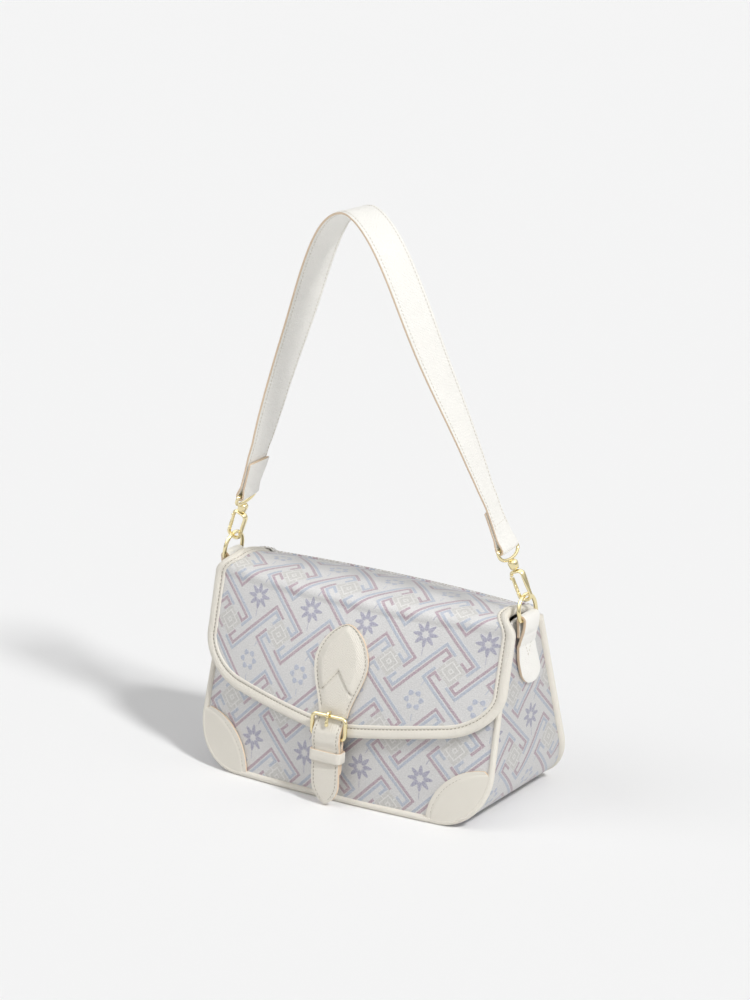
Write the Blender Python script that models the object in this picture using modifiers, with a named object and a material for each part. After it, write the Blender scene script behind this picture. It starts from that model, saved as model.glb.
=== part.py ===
"""Small flap bag with a short clip-on shoulder strap.

All sizes are millimetres and are scaled to metres when a mesh is made.
X runs to the right of the front face, Y runs to the back and Z is up.
The origin is on the ground under the middle of the bag.
"""
import math

import bmesh
import bpy
import numpy as np
from mathutils import Matrix, Vector

for stale in list(bpy.data.objects):
    bpy.data.objects.remove(stale, do_unlink=True)

MM = 0.001
GAP = 0.35
SEAM = 0.8

# Body: half widths at base and top, height, corner radius, depth between the seams, bulges
WIDTH_BASE = 127.3
WIDTH_TOP = 122.7
HEIGHT = 147.0
BACK_DROP = 4.2
CORNER = 38.0
DEPTH_BASE = 119.0
DEPTH_TOP = 40.0
BULGE_BASE = 6.0
BULGE_MID = 17.0
BULGE_TOP = 9.0
PANEL = 2.4
GUSSET = 2.2
GUSSET_BULGE = 2.4
PIPING = 2.4
BACK_ROLL = 3.6
LINING = 0.8
BOARD = 3.0
BOARD_SIDE_CLEAR = 7.3
BOARD_ROLL_CLEAR = 3.9

# Flap: outer face ahead of the body, cloth and edge thickness, widths, fold line
FLAP_PROUD = 6.6
FLAP_CLOTH = 3.0
EDGE_PROUD = 0.6
EDGE_THICK = 4.2
EDGE_WIDTH = 9.5
FLAP_HALF = 131.5
FLAP_HALF_TOP = WIDTH_TOP - 1.2
FOLD_Y = -16.0
FOLD_Z = 155.3
FOLD_LOW = 142.0
HINGE_Y = 24.5
HINGE_Z = 148.0

# Front closure: leaf, buckle, billet, chape, keeper and magnetic snap
LEAF = 1.6
BILLET_HALF = 11.7
BILLET = 2.4
CHAPE = 2.2
BUCKLE_WIRE = 1.5
BUCKLE_HALF = 14.5
BUCKLE_TOP = 68.5
BUCKLE_HEEL = 52.5
BAR_PROUD = 13.0
HEEL_PROUD = 11.5
KEEPER_LOW = 34.6
KEEPER_HIGH = 43.0
SNAP_Z = 27.0

# Ring, hook and strap hardware
RING_WIRE = 1.5
RING_HALF = 11.5
RING_NECK = 6.0
RING_X = WIDTH_TOP + 7.6
RING_Y = -6.0
RING_Z = 151.5
RING_LEAN = math.radians(8.0)
TAB = 2.2
TAB_ROLL = RING_WIRE + GAP + TAB / 2
HOOK_LEAN = math.radians(22.0)
HOOK_WIRE = 1.5
HOOK_HALF = 5.0
HOOK_LOW = -3.5
HOOK_HIGH = 18.0
GATE_LOW = 3.4
GATE_PIVOT = 14.2
BAIL_WIRE = 1.3
BAIL_HALF = 12.6
BAIL_LOW = 29.2
BAIL_BAR = 38.0
STRAP = 3.0
STRAP_WIDE = 26.0
STRAP_END = 20.6
STRAP_ROLL = BAIL_WIRE + 0.4 + STRAP / 2
HANDLE_LEAN = math.radians(4.5)

SWING_Z = RING_Z + RING_NECK * math.cos(RING_LEAN)
LEAN = (
    Matrix.Translation((0.0, RING_Y, SWING_Z))
    @ Matrix.Rotation(HANDLE_LEAN, 4, "X")
    @ Matrix.Translation((0.0, -RING_Y, -SWING_Z))
)

COLOURS = {
    "brocade": (0.62, 0.57, 0.54, 0.75),
    "cream_leather": (0.84, 0.79, 0.70, 0.55),
    "lining_cloth": (0.55, 0.47, 0.38, 0.9),
    "board": (0.35, 0.30, 0.25, 0.9),
    "gold": (0.83, 0.66, 0.38, 0.25),
    "steel": (0.55, 0.55, 0.56, 0.3),
}


def smooth(t):
    """Smooth step from 0 to 1, flat at both ends."""
    t = min(max(t, 0.0), 1.0)
    return t * t * (3.0 - 2.0 * t)


def half_width(z):
    """Half width of the body between its seams at height z."""
    return WIDTH_TOP + (WIDTH_BASE - WIDTH_TOP) * (1.0 - z / HEIGHT)


def depth(z):
    """Depth between the front and back seams at height z."""
    return DEPTH_BASE + (DEPTH_TOP - DEPTH_BASE) * z / HEIGHT


def bulge(z):
    """How far the middle of a panel stands out from its seams at height z."""
    t = z / HEIGHT
    line = BULGE_BASE * (1.0 - t) + BULGE_TOP * t
    return line + (BULGE_MID - (BULGE_BASE + BULGE_TOP) / 2.0) * 4.0 * t * (1.0 - t)


def face(x, z, out=0.0):
    """Point on the front face, out millimetres ahead of it."""
    y = depth(z) / 2.0 + bulge(z) * (1.0 - (x / half_width(z)) ** 2)
    return (x, -y - out, z)


def u_width(z, inset, bottom):
    """Half width at height z of the U outline, moved in by inset."""
    r = CORNER - inset
    centre = bottom + CORNER
    w = half_width(z) - inset
    if z < centre:
        w = w - r + math.sqrt(max(r * r - (centre - z) ** 2, 0.0))
    return w


def u_path(side, base, radius_zero, top=HEIGHT, arc_steps=8, side_steps=8, base_steps=8):
    """Points (x, z) along the U, out by side at the sides and by base at the bottom."""
    centre = radius_zero + CORNER
    cx = half_width(radius_zero) - CORNER
    half = []
    for i in range(side_steps):
        z = top + (centre - top) * i / side_steps
        half.append((half_width(z) + side, z))
    for i in range(arc_steps + 1):
        a = 0.5 * math.pi * i / arc_steps
        r = CORNER + side + (base - side) * math.sin(a) ** 2
        tip = half_width(centre) - CORNER
        half.append((tip + (cx - tip) * i / arc_steps + r * math.cos(a), centre - r * math.sin(a)))
    low = half[-1]
    for i in range(1, base_steps // 2 + 1):
        half.append((low[0] * (1.0 - 2.0 * i / base_steps), low[1]))
    left = [(-x, z) for x, z in half]
    return left + [p for p in reversed(half[:-1])]


def bezier(points, t):
    """Point at t on a cubic curve with four control points."""
    s = 1.0 - t
    w = (s * s * s, 3.0 * s * s * t, 3.0 * s * t * t, t * t * t)
    return tuple(sum(w[k] * points[k][i] for k in range(4)) for i in range(2))


def steps(n, low=0.0, high=1.0):
    """n + 1 even values from low to high."""
    return [low + (high - low) * i / n for i in range(n + 1)]


def eased(n):
    """n + 1 values from -1 to 1, closer together at both ends."""
    return [-math.cos(math.pi * i / n) for i in range(n + 1)]


def material(name):
    """Principled material for one sub-part."""
    r, g, b, rough = COLOURS[name]
    mat = bpy.data.materials.new(name)
    mat.use_nodes = True
    shader = mat.node_tree.nodes["Principled BSDF"]
    shader.inputs["Base Color"].default_value = (r, g, b, 1.0)
    shader.inputs["Roughness"].default_value = rough
    shader.inputs["Metallic"].default_value = 1.0 if name in ("gold", "steel") else 0.0
    return mat


MATERIALS = {name: material(name) for name in COLOURS}
PARTS = bpy.data.collections.new("flap_bag")
GUIDES = bpy.data.collections.new("guides")
bpy.context.scene.collection.children.link(PARTS)
bpy.context.scene.collection.children.link(GUIDES)


def axis_guide(name, at):
    """Empty on a joint axis, in millimetres."""
    empty = bpy.data.objects.new(name, None)
    empty.location = Vector(at) * MM
    empty.empty_display_size = 0.02
    GUIDES.objects.link(empty)
    return empty


def place(obj, colour, guide=None):
    """Link a finished object, colour it and hang it from its joint guide."""
    obj.data.materials.append(MATERIALS[colour])
    PARTS.objects.link(obj)
    if guide is not None:
        obj.parent = guide
        obj.matrix_parent_inverse = Matrix.Translation(guide.location).inverted()
    return obj


def sheet(name, surface, us, vs, thick, colour, guide=None, offset=-1.0, weld=False):
    """Grid mapped by surface(u, v) and thickened; the mapped face is the outer one."""
    bm = bmesh.new()
    bmesh.ops.create_grid(bm, x_segments=len(us) - 1, y_segments=len(vs) - 1, size=1.0)
    for vert in bm.verts:
        i = round((vert.co.x + 1.0) / 2.0 * (len(us) - 1))
        j = round((vert.co.y + 1.0) / 2.0 * (len(vs) - 1))
        vert.co = Vector(surface(us[i], vs[j])) * MM
    if weld:
        bmesh.ops.remove_doubles(bm, verts=bm.verts, dist=1e-6)
    mesh = bpy.data.meshes.new(name)
    bm.to_mesh(mesh)
    bm.free()
    obj = bpy.data.objects.new(name, mesh)
    shell = obj.modifiers.new("thickness", "SOLIDIFY")
    shell.thickness = thick * MM
    shell.offset = offset
    return place(obj, colour, guide)


def tube(name, points, radius, colour, guide=None, cyclic=False, sides=2):
    """Round bar along a list of points."""
    curve = bpy.data.curves.new(name, "CURVE")
    curve.dimensions = "3D"
    curve.bevel_depth = radius * MM
    curve.bevel_resolution = sides
    curve.use_fill_caps = True
    spline = curve.splines.new("POLY")
    spline.points.add(len(points) - 1)
    for slot, p in zip(spline.points, points):
        slot.co = (p[0] * MM, p[1] * MM, p[2] * MM, 1.0)
    spline.use_cyclic_u = cyclic
    return place(bpy.data.objects.new(name, curve), colour, guide)


def turned(name, profile, frame, colour, guide=None, turns=16):
    """Profile of (radius, height) points turned about its own Z axis."""
    mesh = bpy.data.meshes.new(name)
    verts = [(r * MM, 0.0, h * MM) for r, h in profile]
    mesh.from_pydata(verts, [(i, i + 1) for i in range(len(verts) - 1)], [])
    obj = bpy.data.objects.new(name, mesh)
    spin = obj.modifiers.new("turn", "SCREW")
    spin.steps = turns
    spin.render_steps = turns
    spin.use_merge_vertices = True
    spin.merge_threshold = 0.00001
    place(obj, colour, guide)
    world = frame.copy()
    world.translation = world.translation * MM
    obj.matrix_world = world
    if guide is not None:
        obj.matrix_basis = world
    return obj


# Body panels
def front_surface(u, v):
    z = v
    w = u_width(z, PIPING + SEAM, PIPING)
    return face(u * w, z)


def back_surface(u, v):
    x, y, z = face(-u * u_width(v, BACK_ROLL + SEAM, BACK_ROLL), v)
    return (x, -y, z)


def panel_rows(low, high):
    rows = [low + 36.0 * (1.0 - math.cos(0.5 * math.pi * i / 6)) for i in range(6)]
    return rows + steps(8, low + 36.0, high)


sheet(
    "front_panel", front_surface, eased(18),
    panel_rows(2.0 * PIPING + SEAM, HEIGHT - 1.0), PANEL, "brocade",
)
sheet(
    "back_panel", back_surface, eased(14),
    panel_rows(2.0 * BACK_ROLL + SEAM, HEIGHT - BACK_DROP), PANEL, "brocade",
)

GUSSET_LINE = u_path(1.0, PIPING, PIPING)


def gusset_surface(u, v):
    x, z = GUSSET_LINE[int(u)]
    front = -(depth(z) / 2.0 - PIPING - SEAM)
    back = depth(z) / 2.0 - BACK_ROLL - SEAM
    y = front + (back - front) * v
    swell = GUSSET_BULGE * (max(z, 0.0) / HEIGHT) ** 2 * 4.0 * v * (1.0 - v)
    return (x + math.copysign(swell, x) if abs(x) > 60.0 else x, y, z)


sheet(
    "gusset", gusset_surface, list(range(len(GUSSET_LINE))), steps(6, 1.0, 0.0),
    GUSSET, "brocade",
)

FRONT_LINE = u_path(0.0, 0.0, PIPING)
tube("front_piping", [(x, -depth(z) / 2.0, z) for x, z in FRONT_LINE], PIPING, "cream_leather")
BACK_LINE = u_path(0.0, 0.0, BACK_ROLL, HEIGHT - BACK_DROP)
tube("back_piping", [(x, depth(z) / 2.0, z) for x, z in BACK_LINE], BACK_ROLL, "cream_leather")


# Lining: an open sack inside the panels, and the stiffening board under it
def lining_surface(u, v):
    z = max(v, PIPING + 3.6)
    shrink = 1.0 if v > 0.0 else 1.0 + v
    w = u_width(z, 3.6, PIPING)
    c = math.cos(2.0 * math.pi * u)
    s = math.sin(2.0 * math.pi * u)
    x = w * math.copysign(abs(c) ** 0.4, c)
    full = 0.9 * bulge(z) * (1.0 - (x / w) ** 2) * smooth((z - 8.0) / 20.0)
    d = depth(z) / 2.0 - 8.2 + 3.4 * smooth((z - 7.0) / 12.0) + full
    y = d * math.copysign(abs(s) ** 0.4, s)
    return (x * shrink, y * shrink, z)


LINING_ROWS = [-1.0, -0.5] + [PIPING + 3.6 + 30.0 * (i / 5.0) ** 2 for i in range(5)]
LINING_ROWS = LINING_ROWS + steps(5, PIPING + 33.6, HEIGHT - BACK_DROP - 1.0)
sheet(
    "lining", lining_surface, [i / 40.0 for i in range(41)], LINING_ROWS,
    LINING, "lining_cloth", weld=True,
)


def board_surface(u, v):
    x = WIDTH_BASE - CORNER - BOARD_SIDE_CLEAR
    y = DEPTH_BASE / 2.0 - BACK_ROLL - BOARD_ROLL_CLEAR
    return (x * u, y * v, GUSSET + GAP + BOARD)


sheet("base_board", board_surface, steps(4, -1.0), steps(2, -1.0), BOARD, "board")


# Leather patches on the two lower front corners
def patch(side, name):
    low = 2.0 * PIPING + SEAM

    def surface(u, v):
        a = math.radians(91.0 + 85.0 * u)
        inner = (122.0 + 42.5 * math.cos(a), 1.5 + 42.5 * math.sin(a))
        b = math.radians(90.0 * u)
        r = CORNER - PIPING - SEAM
        tip = half_width(low) - CORNER
        outer = (tip + r * math.cos(b), PIPING + CORNER - r * math.sin(b))
        x = inner[0] + (outer[0] - inner[0]) * v
        z = max(inner[1] + (outer[1] - inner[1]) * v, low)
        return face(side * min(x, u_width(z, PIPING + SEAM, PIPING)), z, GAP + 1.5)

    us = steps(10)
    vs = steps(4)
    sheet(name, surface, us, vs if side > 0 else vs[::-1], 1.5, "cream_leather")


patch(-1.0, "front_corner_patch_left")
patch(1.0, "front_corner_patch_right")


# Flap: top panel from the back seam to the fold, front panel from the fold down
FLAP_TOP_AXIS = axis_guide("axis_flap_top", (0.0, HINGE_Y, HINGE_Z))
FLAP_FRONT_AXIS = axis_guide("axis_flap_front", (0.0, FOLD_Y, FOLD_Z + EDGE_PROUD + 0.1))
FOLD_DIR = (-math.cos(math.radians(10.0)), -math.sin(math.radians(10.0)))


def top_line(x, t, proud):
    """Point on the top of the flap, t from the back seam to the fold."""
    x_in = min(abs(x), FLAP_HALF_TOP)
    back = -face(x_in, HEIGHT)[1]
    pts = (
        (back, HEIGHT + 1.2),
        (back - 9.0, HEIGHT + 4.5),
        (FOLD_Y - 10.0 * FOLD_DIR[0], FOLD_Z - 10.0 * FOLD_DIR[1] + 0.6),
        (FOLD_Y, FOLD_Z),
    )
    y, z = bezier(pts, t)
    y2, z2 = bezier(pts, min(t + 0.01, 1.0))
    y1, z1 = bezier(pts, min(t + 0.01, 1.0) - 0.01)
    run = math.hypot(y2 - y1, z2 - z1)
    return (x, y - proud * (z2 - z1) / run, z - proud * (y2 - y1) / run)


def fold_line(x, t, proud):
    """Point on the front of the flap between the fold and the flat front."""
    low = face(x, FOLD_LOW, FLAP_PROUD)[1]
    reach = 0.66 * (FOLD_Y - low)
    pts = (
        (FOLD_Y, FOLD_Z),
        (FOLD_Y + reach * FOLD_DIR[0], FOLD_Z + reach * FOLD_DIR[1]),
        (low + 0.4, FOLD_LOW + 9.0),
        (low, FOLD_LOW),
    )
    y, z = bezier(pts, t)
    y2, z2 = bezier(pts, min(t + 0.01, 1.0))
    y1, z1 = bezier(pts, min(t + 0.01, 1.0) - 0.01)
    run = math.hypot(y2 - y1, z2 - z1)
    return (x, y + proud * (z2 - z1) / run, z - proud * (y2 - y1) / run)


def flap_half(t):
    """Half width of the flap between the fold, t = 0, and the flat front, t = 1."""
    return FLAP_HALF_TOP + (FLAP_HALF - FLAP_HALF_TOP) * smooth(t)


def lower_edge(x):
    """Height of the outer lower edge of the flap at x."""
    a = min(max(abs(x) - 92.0, 0.0) / 39.5, 1.0)
    scoop = 0.161 * (math.hypot(x, 12.0) - 12.0)
    return 52.5 + scoop + 28.0 * (1.0 - math.sqrt(1.0 - a * a))


def edge_points():
    """Lower outline of the flap from the left side to the right, with inward normals."""
    xs = [FLAP_HALF * math.sin(0.5 * math.pi * i / 28.0) for i in range(-28, 29)]
    pts = [(x, lower_edge(x)) for x in xs]
    side = steps(4, FOLD_LOW, pts[0][1])[:-1]
    pts = [(-FLAP_HALF, z) for z in side] + pts + [(FLAP_HALF, z) for z in reversed(side)]
    out = []
    for i, (x, z) in enumerate(pts):
        x0, z0 = pts[max(i - 1, 0)]
        x1, z1 = pts[min(i + 1, len(pts) - 1)]
        run = math.hypot(x1 - x0, z1 - z0)
        out.append((x, z, -(z1 - z0) / run, (x1 - x0) / run))
    return out


EDGE = edge_points()
INNER = sorted(
    (x + nx * (EDGE_WIDTH + SEAM), z + nz * (EDGE_WIDTH + SEAM))
    for x, z, nx, nz in EDGE if z < FOLD_LOW - 8.0
)
INNER_X = [p[0] for p in INNER]
INNER_Z = [p[1] for p in INNER]
CLOTH_HALF = FLAP_HALF - EDGE_WIDTH - SEAM
FOLD_ROWS = 7


def flap_front_surface(u, v):
    if v >= 1.0:
        t = 2.0 - v
        return fold_line(u * (flap_half(t) - EDGE_WIDTH - SEAM), t, 0.0)
    x = u * CLOTH_HALF
    low = float(np.interp(x, INNER_X, INNER_Z))
    return face(x, low + (FOLD_LOW - low) * v, FLAP_PROUD)


FRONT_ROWS = steps(8)[:-1] + [1.0 + i / FOLD_ROWS for i in range(FOLD_ROWS + 1)]
sheet(
    "flap_front_panel", flap_front_surface, eased(24), FRONT_ROWS,
    FLAP_CLOTH, "brocade", FLAP_FRONT_AXIS,
)


def binding_surface(u, v):
    n = len(EDGE)
    i = int(u)
    if i < FOLD_ROWS or i >= n + FOLD_ROWS:
        left = i < FOLD_ROWS
        t = i / FOLD_ROWS if left else (n + 2 * FOLD_ROWS - 1 - i) / FOLD_ROWS
        x = flap_half(t) - EDGE_WIDTH * v
        return fold_line(-x if left else x, t, EDGE_PROUD)
    x, z, nx, nz = EDGE[i - FOLD_ROWS]
    return face(x + nx * EDGE_WIDTH * v, z + nz * EDGE_WIDTH * v, FLAP_PROUD + EDGE_PROUD)


sheet(
    "flap_front_binding", binding_surface, list(range(len(EDGE) + 2 * FOLD_ROWS)),
    steps(2), EDGE_THICK, "cream_leather", FLAP_FRONT_AXIS,
)


def flap_top_surface(u, v):
    return top_line(-u * (FLAP_HALF_TOP - EDGE_WIDTH - SEAM), v, 0.0)


sheet(
    "flap_top_panel", flap_top_surface, eased(18), steps(8, 0.0, 0.985),
    FLAP_CLOTH, "brocade", FLAP_TOP_AXIS,
)


def top_edge(side, name):
    def surface(u, v):
        return top_line(side * (FLAP_HALF_TOP - EDGE_WIDTH * u), v, EDGE_PROUD)

    us = steps(2)
    sheet(
        name, surface, us if side > 0 else us[::-1], steps(8, 0.0, 0.98),
        EDGE_THICK, "cream_leather", FLAP_TOP_AXIS,
    )


top_edge(-1.0, "flap_top_edge_left")
top_edge(1.0, "flap_top_edge_right")


# Closure on the front of the flap
LEAF_Z = [68.5, 78.0, 88.0, 96.0, 104.0, 112.0, 119.0, 125.0, 129.0, 131.7]
LEAF_W = [12.5, 15.2, 19.3, 22.2, 23.0, 21.2, 16.8, 10.4, 5.0, 0.9]


def leaf_surface(u, v):
    w = float(np.interp(v, LEAF_Z, LEAF_W))
    return face(u * w, v, FLAP_PROUD + 0.3 + LEAF)


sheet(
    "leaf_patch", leaf_surface, steps(8, -1.0), LEAF_Z,
    LEAF, "cream_leather", FLAP_FRONT_AXIS,
)


def tongue(half, low, high, round_low):
    """Half width of a strap end rounded over its last round_low millimetres."""
    def width(z):
        a = min(max((low + round_low - z) / round_low, 0.0), 1.0)
        return max(half * math.sqrt(max(1.0 - a * a, 0.0)), 0.25 * half)
    return width


CHAPE_WIDTH = tongue(BILLET_HALF - 0.7, 19.5, 61.0, 8.0)


def chape_surface(u, v):
    return face(u * CHAPE_WIDTH(v), v, FLAP_PROUD + EDGE_PROUD + 0.3 + CHAPE)


sheet(
    "buckle_chape", chape_surface, steps(6, -1.0),
    [19.5, 20.1, 21.2, 23.0, 25.5, 28.0, 35.0, 43.0, 52.0, 61.0],
    CHAPE, "cream_leather", FLAP_FRONT_AXIS,
)

BILLET_Z = [1.5, 10.0, 25.0, 39.0, 44.0, 50.0, 55.0, 60.0, 64.5]
BILLET_OUT = [12.8, 13.0, 13.3, 13.6, 14.0, 15.8, 15.8, 14.1, 12.0]
BILLET_WIDTH = tongue(BILLET_HALF, 1.5, 64.5, 9.0)


def billet_surface(u, v):
    return face(u * BILLET_WIDTH(v), v, float(np.interp(v, BILLET_Z, BILLET_OUT)))


sheet(
    "billet_strap", billet_surface, steps(6, -1.0),
    [1.5, 2.0, 3.2, 5.2, 7.8, 10.5, 25.0, 39.0, 44.0, 50.0, 55.0, 60.0, 64.5],
    BILLET, "cream_leather", FLAP_FRONT_AXIS,
)

KEEPER_IN = FLAP_PROUD + EDGE_PROUD + 0.3 - 0.4
KEEPER_OUT = 13.6 + 1.2


def keeper_surface(u, v):
    a = 2.0 * math.pi * u
    c = math.cos(a)
    s = math.sin(a)
    x = (BILLET_HALF + 0.7) * math.copysign(abs(c) ** 0.25, c)
    mid = (KEEPER_IN + KEEPER_OUT) / 2.0
    out = mid - (KEEPER_OUT - KEEPER_IN) / 2.0 * math.copysign(abs(s) ** 0.25, s)
    return face(x, v, out)


sheet(
    "keeper_loop", keeper_surface, [i / 40.0 for i in range(41)],
    steps(2, KEEPER_LOW, KEEPER_HIGH), 1.3, "cream_leather", FLAP_FRONT_AXIS,
    offset=1.0, weld=True,
)


def buckle_point(x, z):
    t = (z - BUCKLE_HEEL) / (BUCKLE_TOP - BUCKLE_HEEL)
    x0, y, z0 = face(0.0, z, HEEL_PROUD + (BAR_PROUD - HEEL_PROUD) * t)
    return (x, y, z)


def rounded(half, low, high, r, n=4):
    """Closed rounded rectangle of (x, z) points."""
    out = []
    corners = ((half - r, high - r, 0), (r - half, high - r, 90), (r - half, low + r, 180), (half - r, low + r, 270))
    for cx, cz, start in corners:
        for i in range(n + 1):
            a = math.radians(start + 90.0 * i / n)
            out.append((cx + r * math.cos(a), cz + r * math.sin(a)))
    return out


tube(
    "buckle_frame",
    [buckle_point(x, z) for x, z in rounded(BUCKLE_HALF, BUCKLE_HEEL, BUCKLE_TOP, 3.5)],
    BUCKLE_WIRE, "gold", FLAP_FRONT_AXIS, cyclic=True,
)

BAR = buckle_point(0.0, BUCKLE_TOP)
PRONG_AXIS = axis_guide("axis_buckle_prong", BAR)
PRONG_AXIS.parent = FLAP_FRONT_AXIS
PRONG_AXIS.matrix_parent_inverse = Matrix.Translation(FLAP_FRONT_AXIS.location).inverted()
PRONG_R = BUCKLE_WIRE + 0.3 + 1.0
prong = [face(0.0, 59.8, 15.9), face(0.0, 63.5, 15.9)]
for k in range(9):
    angle = math.radians(-10.0 + 30.0 * k)
    prong.append((0.0, BAR[1] - PRONG_R * math.cos(angle), BAR[2] + PRONG_R * math.sin(angle)))
tube("buckle_prong", prong, 1.0, "gold", PRONG_AXIS)


def disc(name, radius, z0, out, thick, colour, guide=None):
    """Round plate that follows the front face."""
    def surface(u, v):
        a = 2.0 * math.pi * u
        return face(radius * v * math.cos(a), z0 + radius * v * math.sin(a), out)

    sheet(
        name, surface, [i / 20.0 for i in range(20, -1, -1)], [0.0, 0.5, 1.0],
        thick, colour, guide, weld=True,
    )


disc("snap_socket", 7.5, SNAP_Z, GAP + 3.1, 3.0, "steel")
disc("snap_stud", 6.0, SNAP_Z, 7.05, 3.0, "steel", FLAP_FRONT_AXIS)


# Ring tabs: a loop over the ring's bar with the long end on the gusset
def ribbon_width(z):
    if z > 146.0:
        return 19.2
    a = min(max((95.0 + 11.0 - z) / 11.0, 0.0), 1.0)
    w = 19.2 + 5.8 * smooth((146.0 - z) / 32.0)
    return max(w * math.sqrt(max(1.0 - a * a, 0.0)), 6.0)


def tab_line():
    inner = WIDTH_TOP + GUSSET_BULGE + 1.45 + GAP + TAB / 2.0
    outer = inner + TAB + GAP
    pts = [(inner, 138.0), (inner, 142.5), (inner - 0.2, 147.0)]
    for k in range(9):
        a = math.radians(180.0 - 180.0 * k / 8)
        pts.append((RING_X + TAB_ROLL * math.cos(a), RING_Z + TAB_ROLL * math.sin(a)))
    pts = pts + [(RING_X + 2.3, 147.0), (outer + 0.5, 142.0), (outer, 137.5), (inner + 0.9, 133.0)]
    return pts + [(inner, 128.0), (inner, 117.0), (inner, 106.0), (inner, 101.0), (inner, 97.5), (inner, 95.5), (inner, 95.0)]


TAB_LINE = tab_line()


def tab(side, name):
    def surface(u, v):
        x, z = TAB_LINE[int(v)]
        y = RING_Y * smooth((z - 95.0) / 50.0) + u * ribbon_width(z) / 2.0
        return (side * x, y, z)

    us = steps(4, -1.0)
    sheet(
        name, surface, us if side > 0 else us[::-1], list(range(len(TAB_LINE))),
        TAB, "cream_leather", offset=0.0,
    )


tab(-1.0, "ring_tab_left")
tab(1.0, "ring_tab_right")


# Rings, hooks, bails: every point is given along the ring's or the hook's own axes
def ring_line():
    pts = []
    for k in range(13):
        a = math.radians(180.0 * k / 12)
        pts.append((RING_HALF * math.cos(a), RING_NECK + RING_HALF * math.sin(a)))
    r = 2.0
    for cx, start in ((r - RING_HALF, 180), (RING_HALF - r, 270)):
        for i in range(4):
            a = math.radians(start + 90.0 * i / 3)
            pts.append((cx + r * math.cos(a), r + r * math.sin(a)))
    return pts


def ring_point(side, y, h):
    x = side * (RING_X - h * math.sin(RING_LEAN))
    return (x, RING_Y + y, RING_Z + h * math.cos(RING_LEAN))


CROWN_X = RING_X - (RING_NECK + RING_HALF) * math.sin(RING_LEAN)
CROWN_Z = RING_Z + (RING_NECK + RING_HALF) * math.cos(RING_LEAN)


def hook_frame(side):
    """Axes of one hook: p across it to +X, Y, and q up the hook; origin in the ring's crown."""
    along = Vector((-side * math.sin(HOOK_LEAN), 0.0, math.cos(HOOK_LEAN)))
    across = Vector((math.cos(HOOK_LEAN), 0.0, side * math.sin(HOOK_LEAN)))
    frame = Matrix.Identity(4)
    for row in range(3):
        frame[row][0] = across[row]
        frame[row][1] = (0.0, 1.0, 0.0)[row]
        frame[row][2] = along[row]
    frame.translation = Vector((side * CROWN_X, RING_Y, CROWN_Z))
    return LEAN @ frame


HANDLE_AXIS = axis_guide("axis_handle", (0.0, RING_Y, SWING_Z))


def child_guide(name, at, parent):
    """Empty on an axis that itself moves with another guide."""
    guide = axis_guide(name, at)
    guide.parent = parent
    guide.matrix_parent_inverse = Matrix.Translation(parent.location).inverted()
    return guide


for side, tail in ((-1.0, "left"), (1.0, "right")):
    ring_axis = axis_guide("axis_ring_" + tail, (side * RING_X, RING_Y, RING_Z))
    tube(
        "d_ring_" + tail, [ring_point(side, y, h) for y, h in ring_line()],
        RING_WIRE, "gold", ring_axis, cyclic=True,
    )
    frame = hook_frame(side)
    swivel = child_guide("axis_swivel_" + tail, frame @ Vector((0.0, 0.0, 20.0)), HANDLE_AXIS)
    loop = [(-HOOK_HALF, GATE_LOW - 0.4), (-HOOK_HALF, HOOK_LOW + 3.6)]
    for cx, cz, start in ((3.6 - HOOK_HALF, HOOK_LOW + 3.6, 180), (HOOK_HALF - 3.6, HOOK_LOW + 3.6, 270)):
        for i in range(1, 5):
            a = math.radians(start + 90.0 * i / 4)
            loop.append((cx + 3.6 * math.cos(a), cz + 3.6 * math.sin(a)))
    for i in range(9):
        a = math.radians(180.0 * i / 8)
        loop.append((HOOK_HALF * math.cos(a), HOOK_HIGH - 2.6 + 2.6 * math.sin(a)))
    tube(
        "hook_body_" + tail, [frame @ Vector((p, 0.0, q)) for p, q in loop],
        HOOK_WIRE, "gold", swivel,
    )
    gate_axis = child_guide("axis_gate_" + tail, frame @ Vector((-HOOK_HALF, 0.0, GATE_PIVOT)), swivel)
    tube(
        "hook_gate_" + tail,
        [frame @ Vector((-HOOK_HALF, 0.0, q)) for q in steps(3, GATE_LOW, GATE_PIVOT + 0.3)],
        HOOK_WIRE - 0.2, "gold", gate_axis,
    )
    rivet = frame @ Matrix.Translation((-HOOK_HALF, -HOOK_WIRE - 0.2, GATE_PIVOT + 0.2))
    turned(
        "gate_rivet_" + tail, [(0.0, 0.8), (0.7, 0.8), (1.1, 0.5), (1.1, 0.0), (0.0, 0.0)],
        rivet @ Matrix.Rotation(math.radians(90.0), 4, "X"), "gold", swivel, turns=12,
    )
    turned(
        "hook_stem_" + tail,
        [(0.0, 25.3), (2.6, 25.3), (2.6, 23.1), (1.6, 23.1), (1.6, 19.8), (0.0, 19.8)],
        frame, "gold", swivel,
    )
    turned(
        "hook_collar_" + tail,
        [
            (0.0, 27.5), (3.4, 27.5), (4.2, 26.7), (4.2, 21.4), (3.8, 20.8), (1.95, 20.8),
            (1.95, 22.7), (3.0, 22.7), (3.0, 25.7), (0.0, 25.7),
        ],
        frame, "gold", HANDLE_AXIS,
    )
    tube(
        "hook_bail_" + tail,
        [frame @ Vector((0.0, y, q)) for y, q in rounded(BAIL_HALF, BAIL_LOW, BAIL_BAR, 3.0, 3)],
        BAIL_WIRE, "gold", HANDLE_AXIS, cyclic=True,
    )


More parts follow.
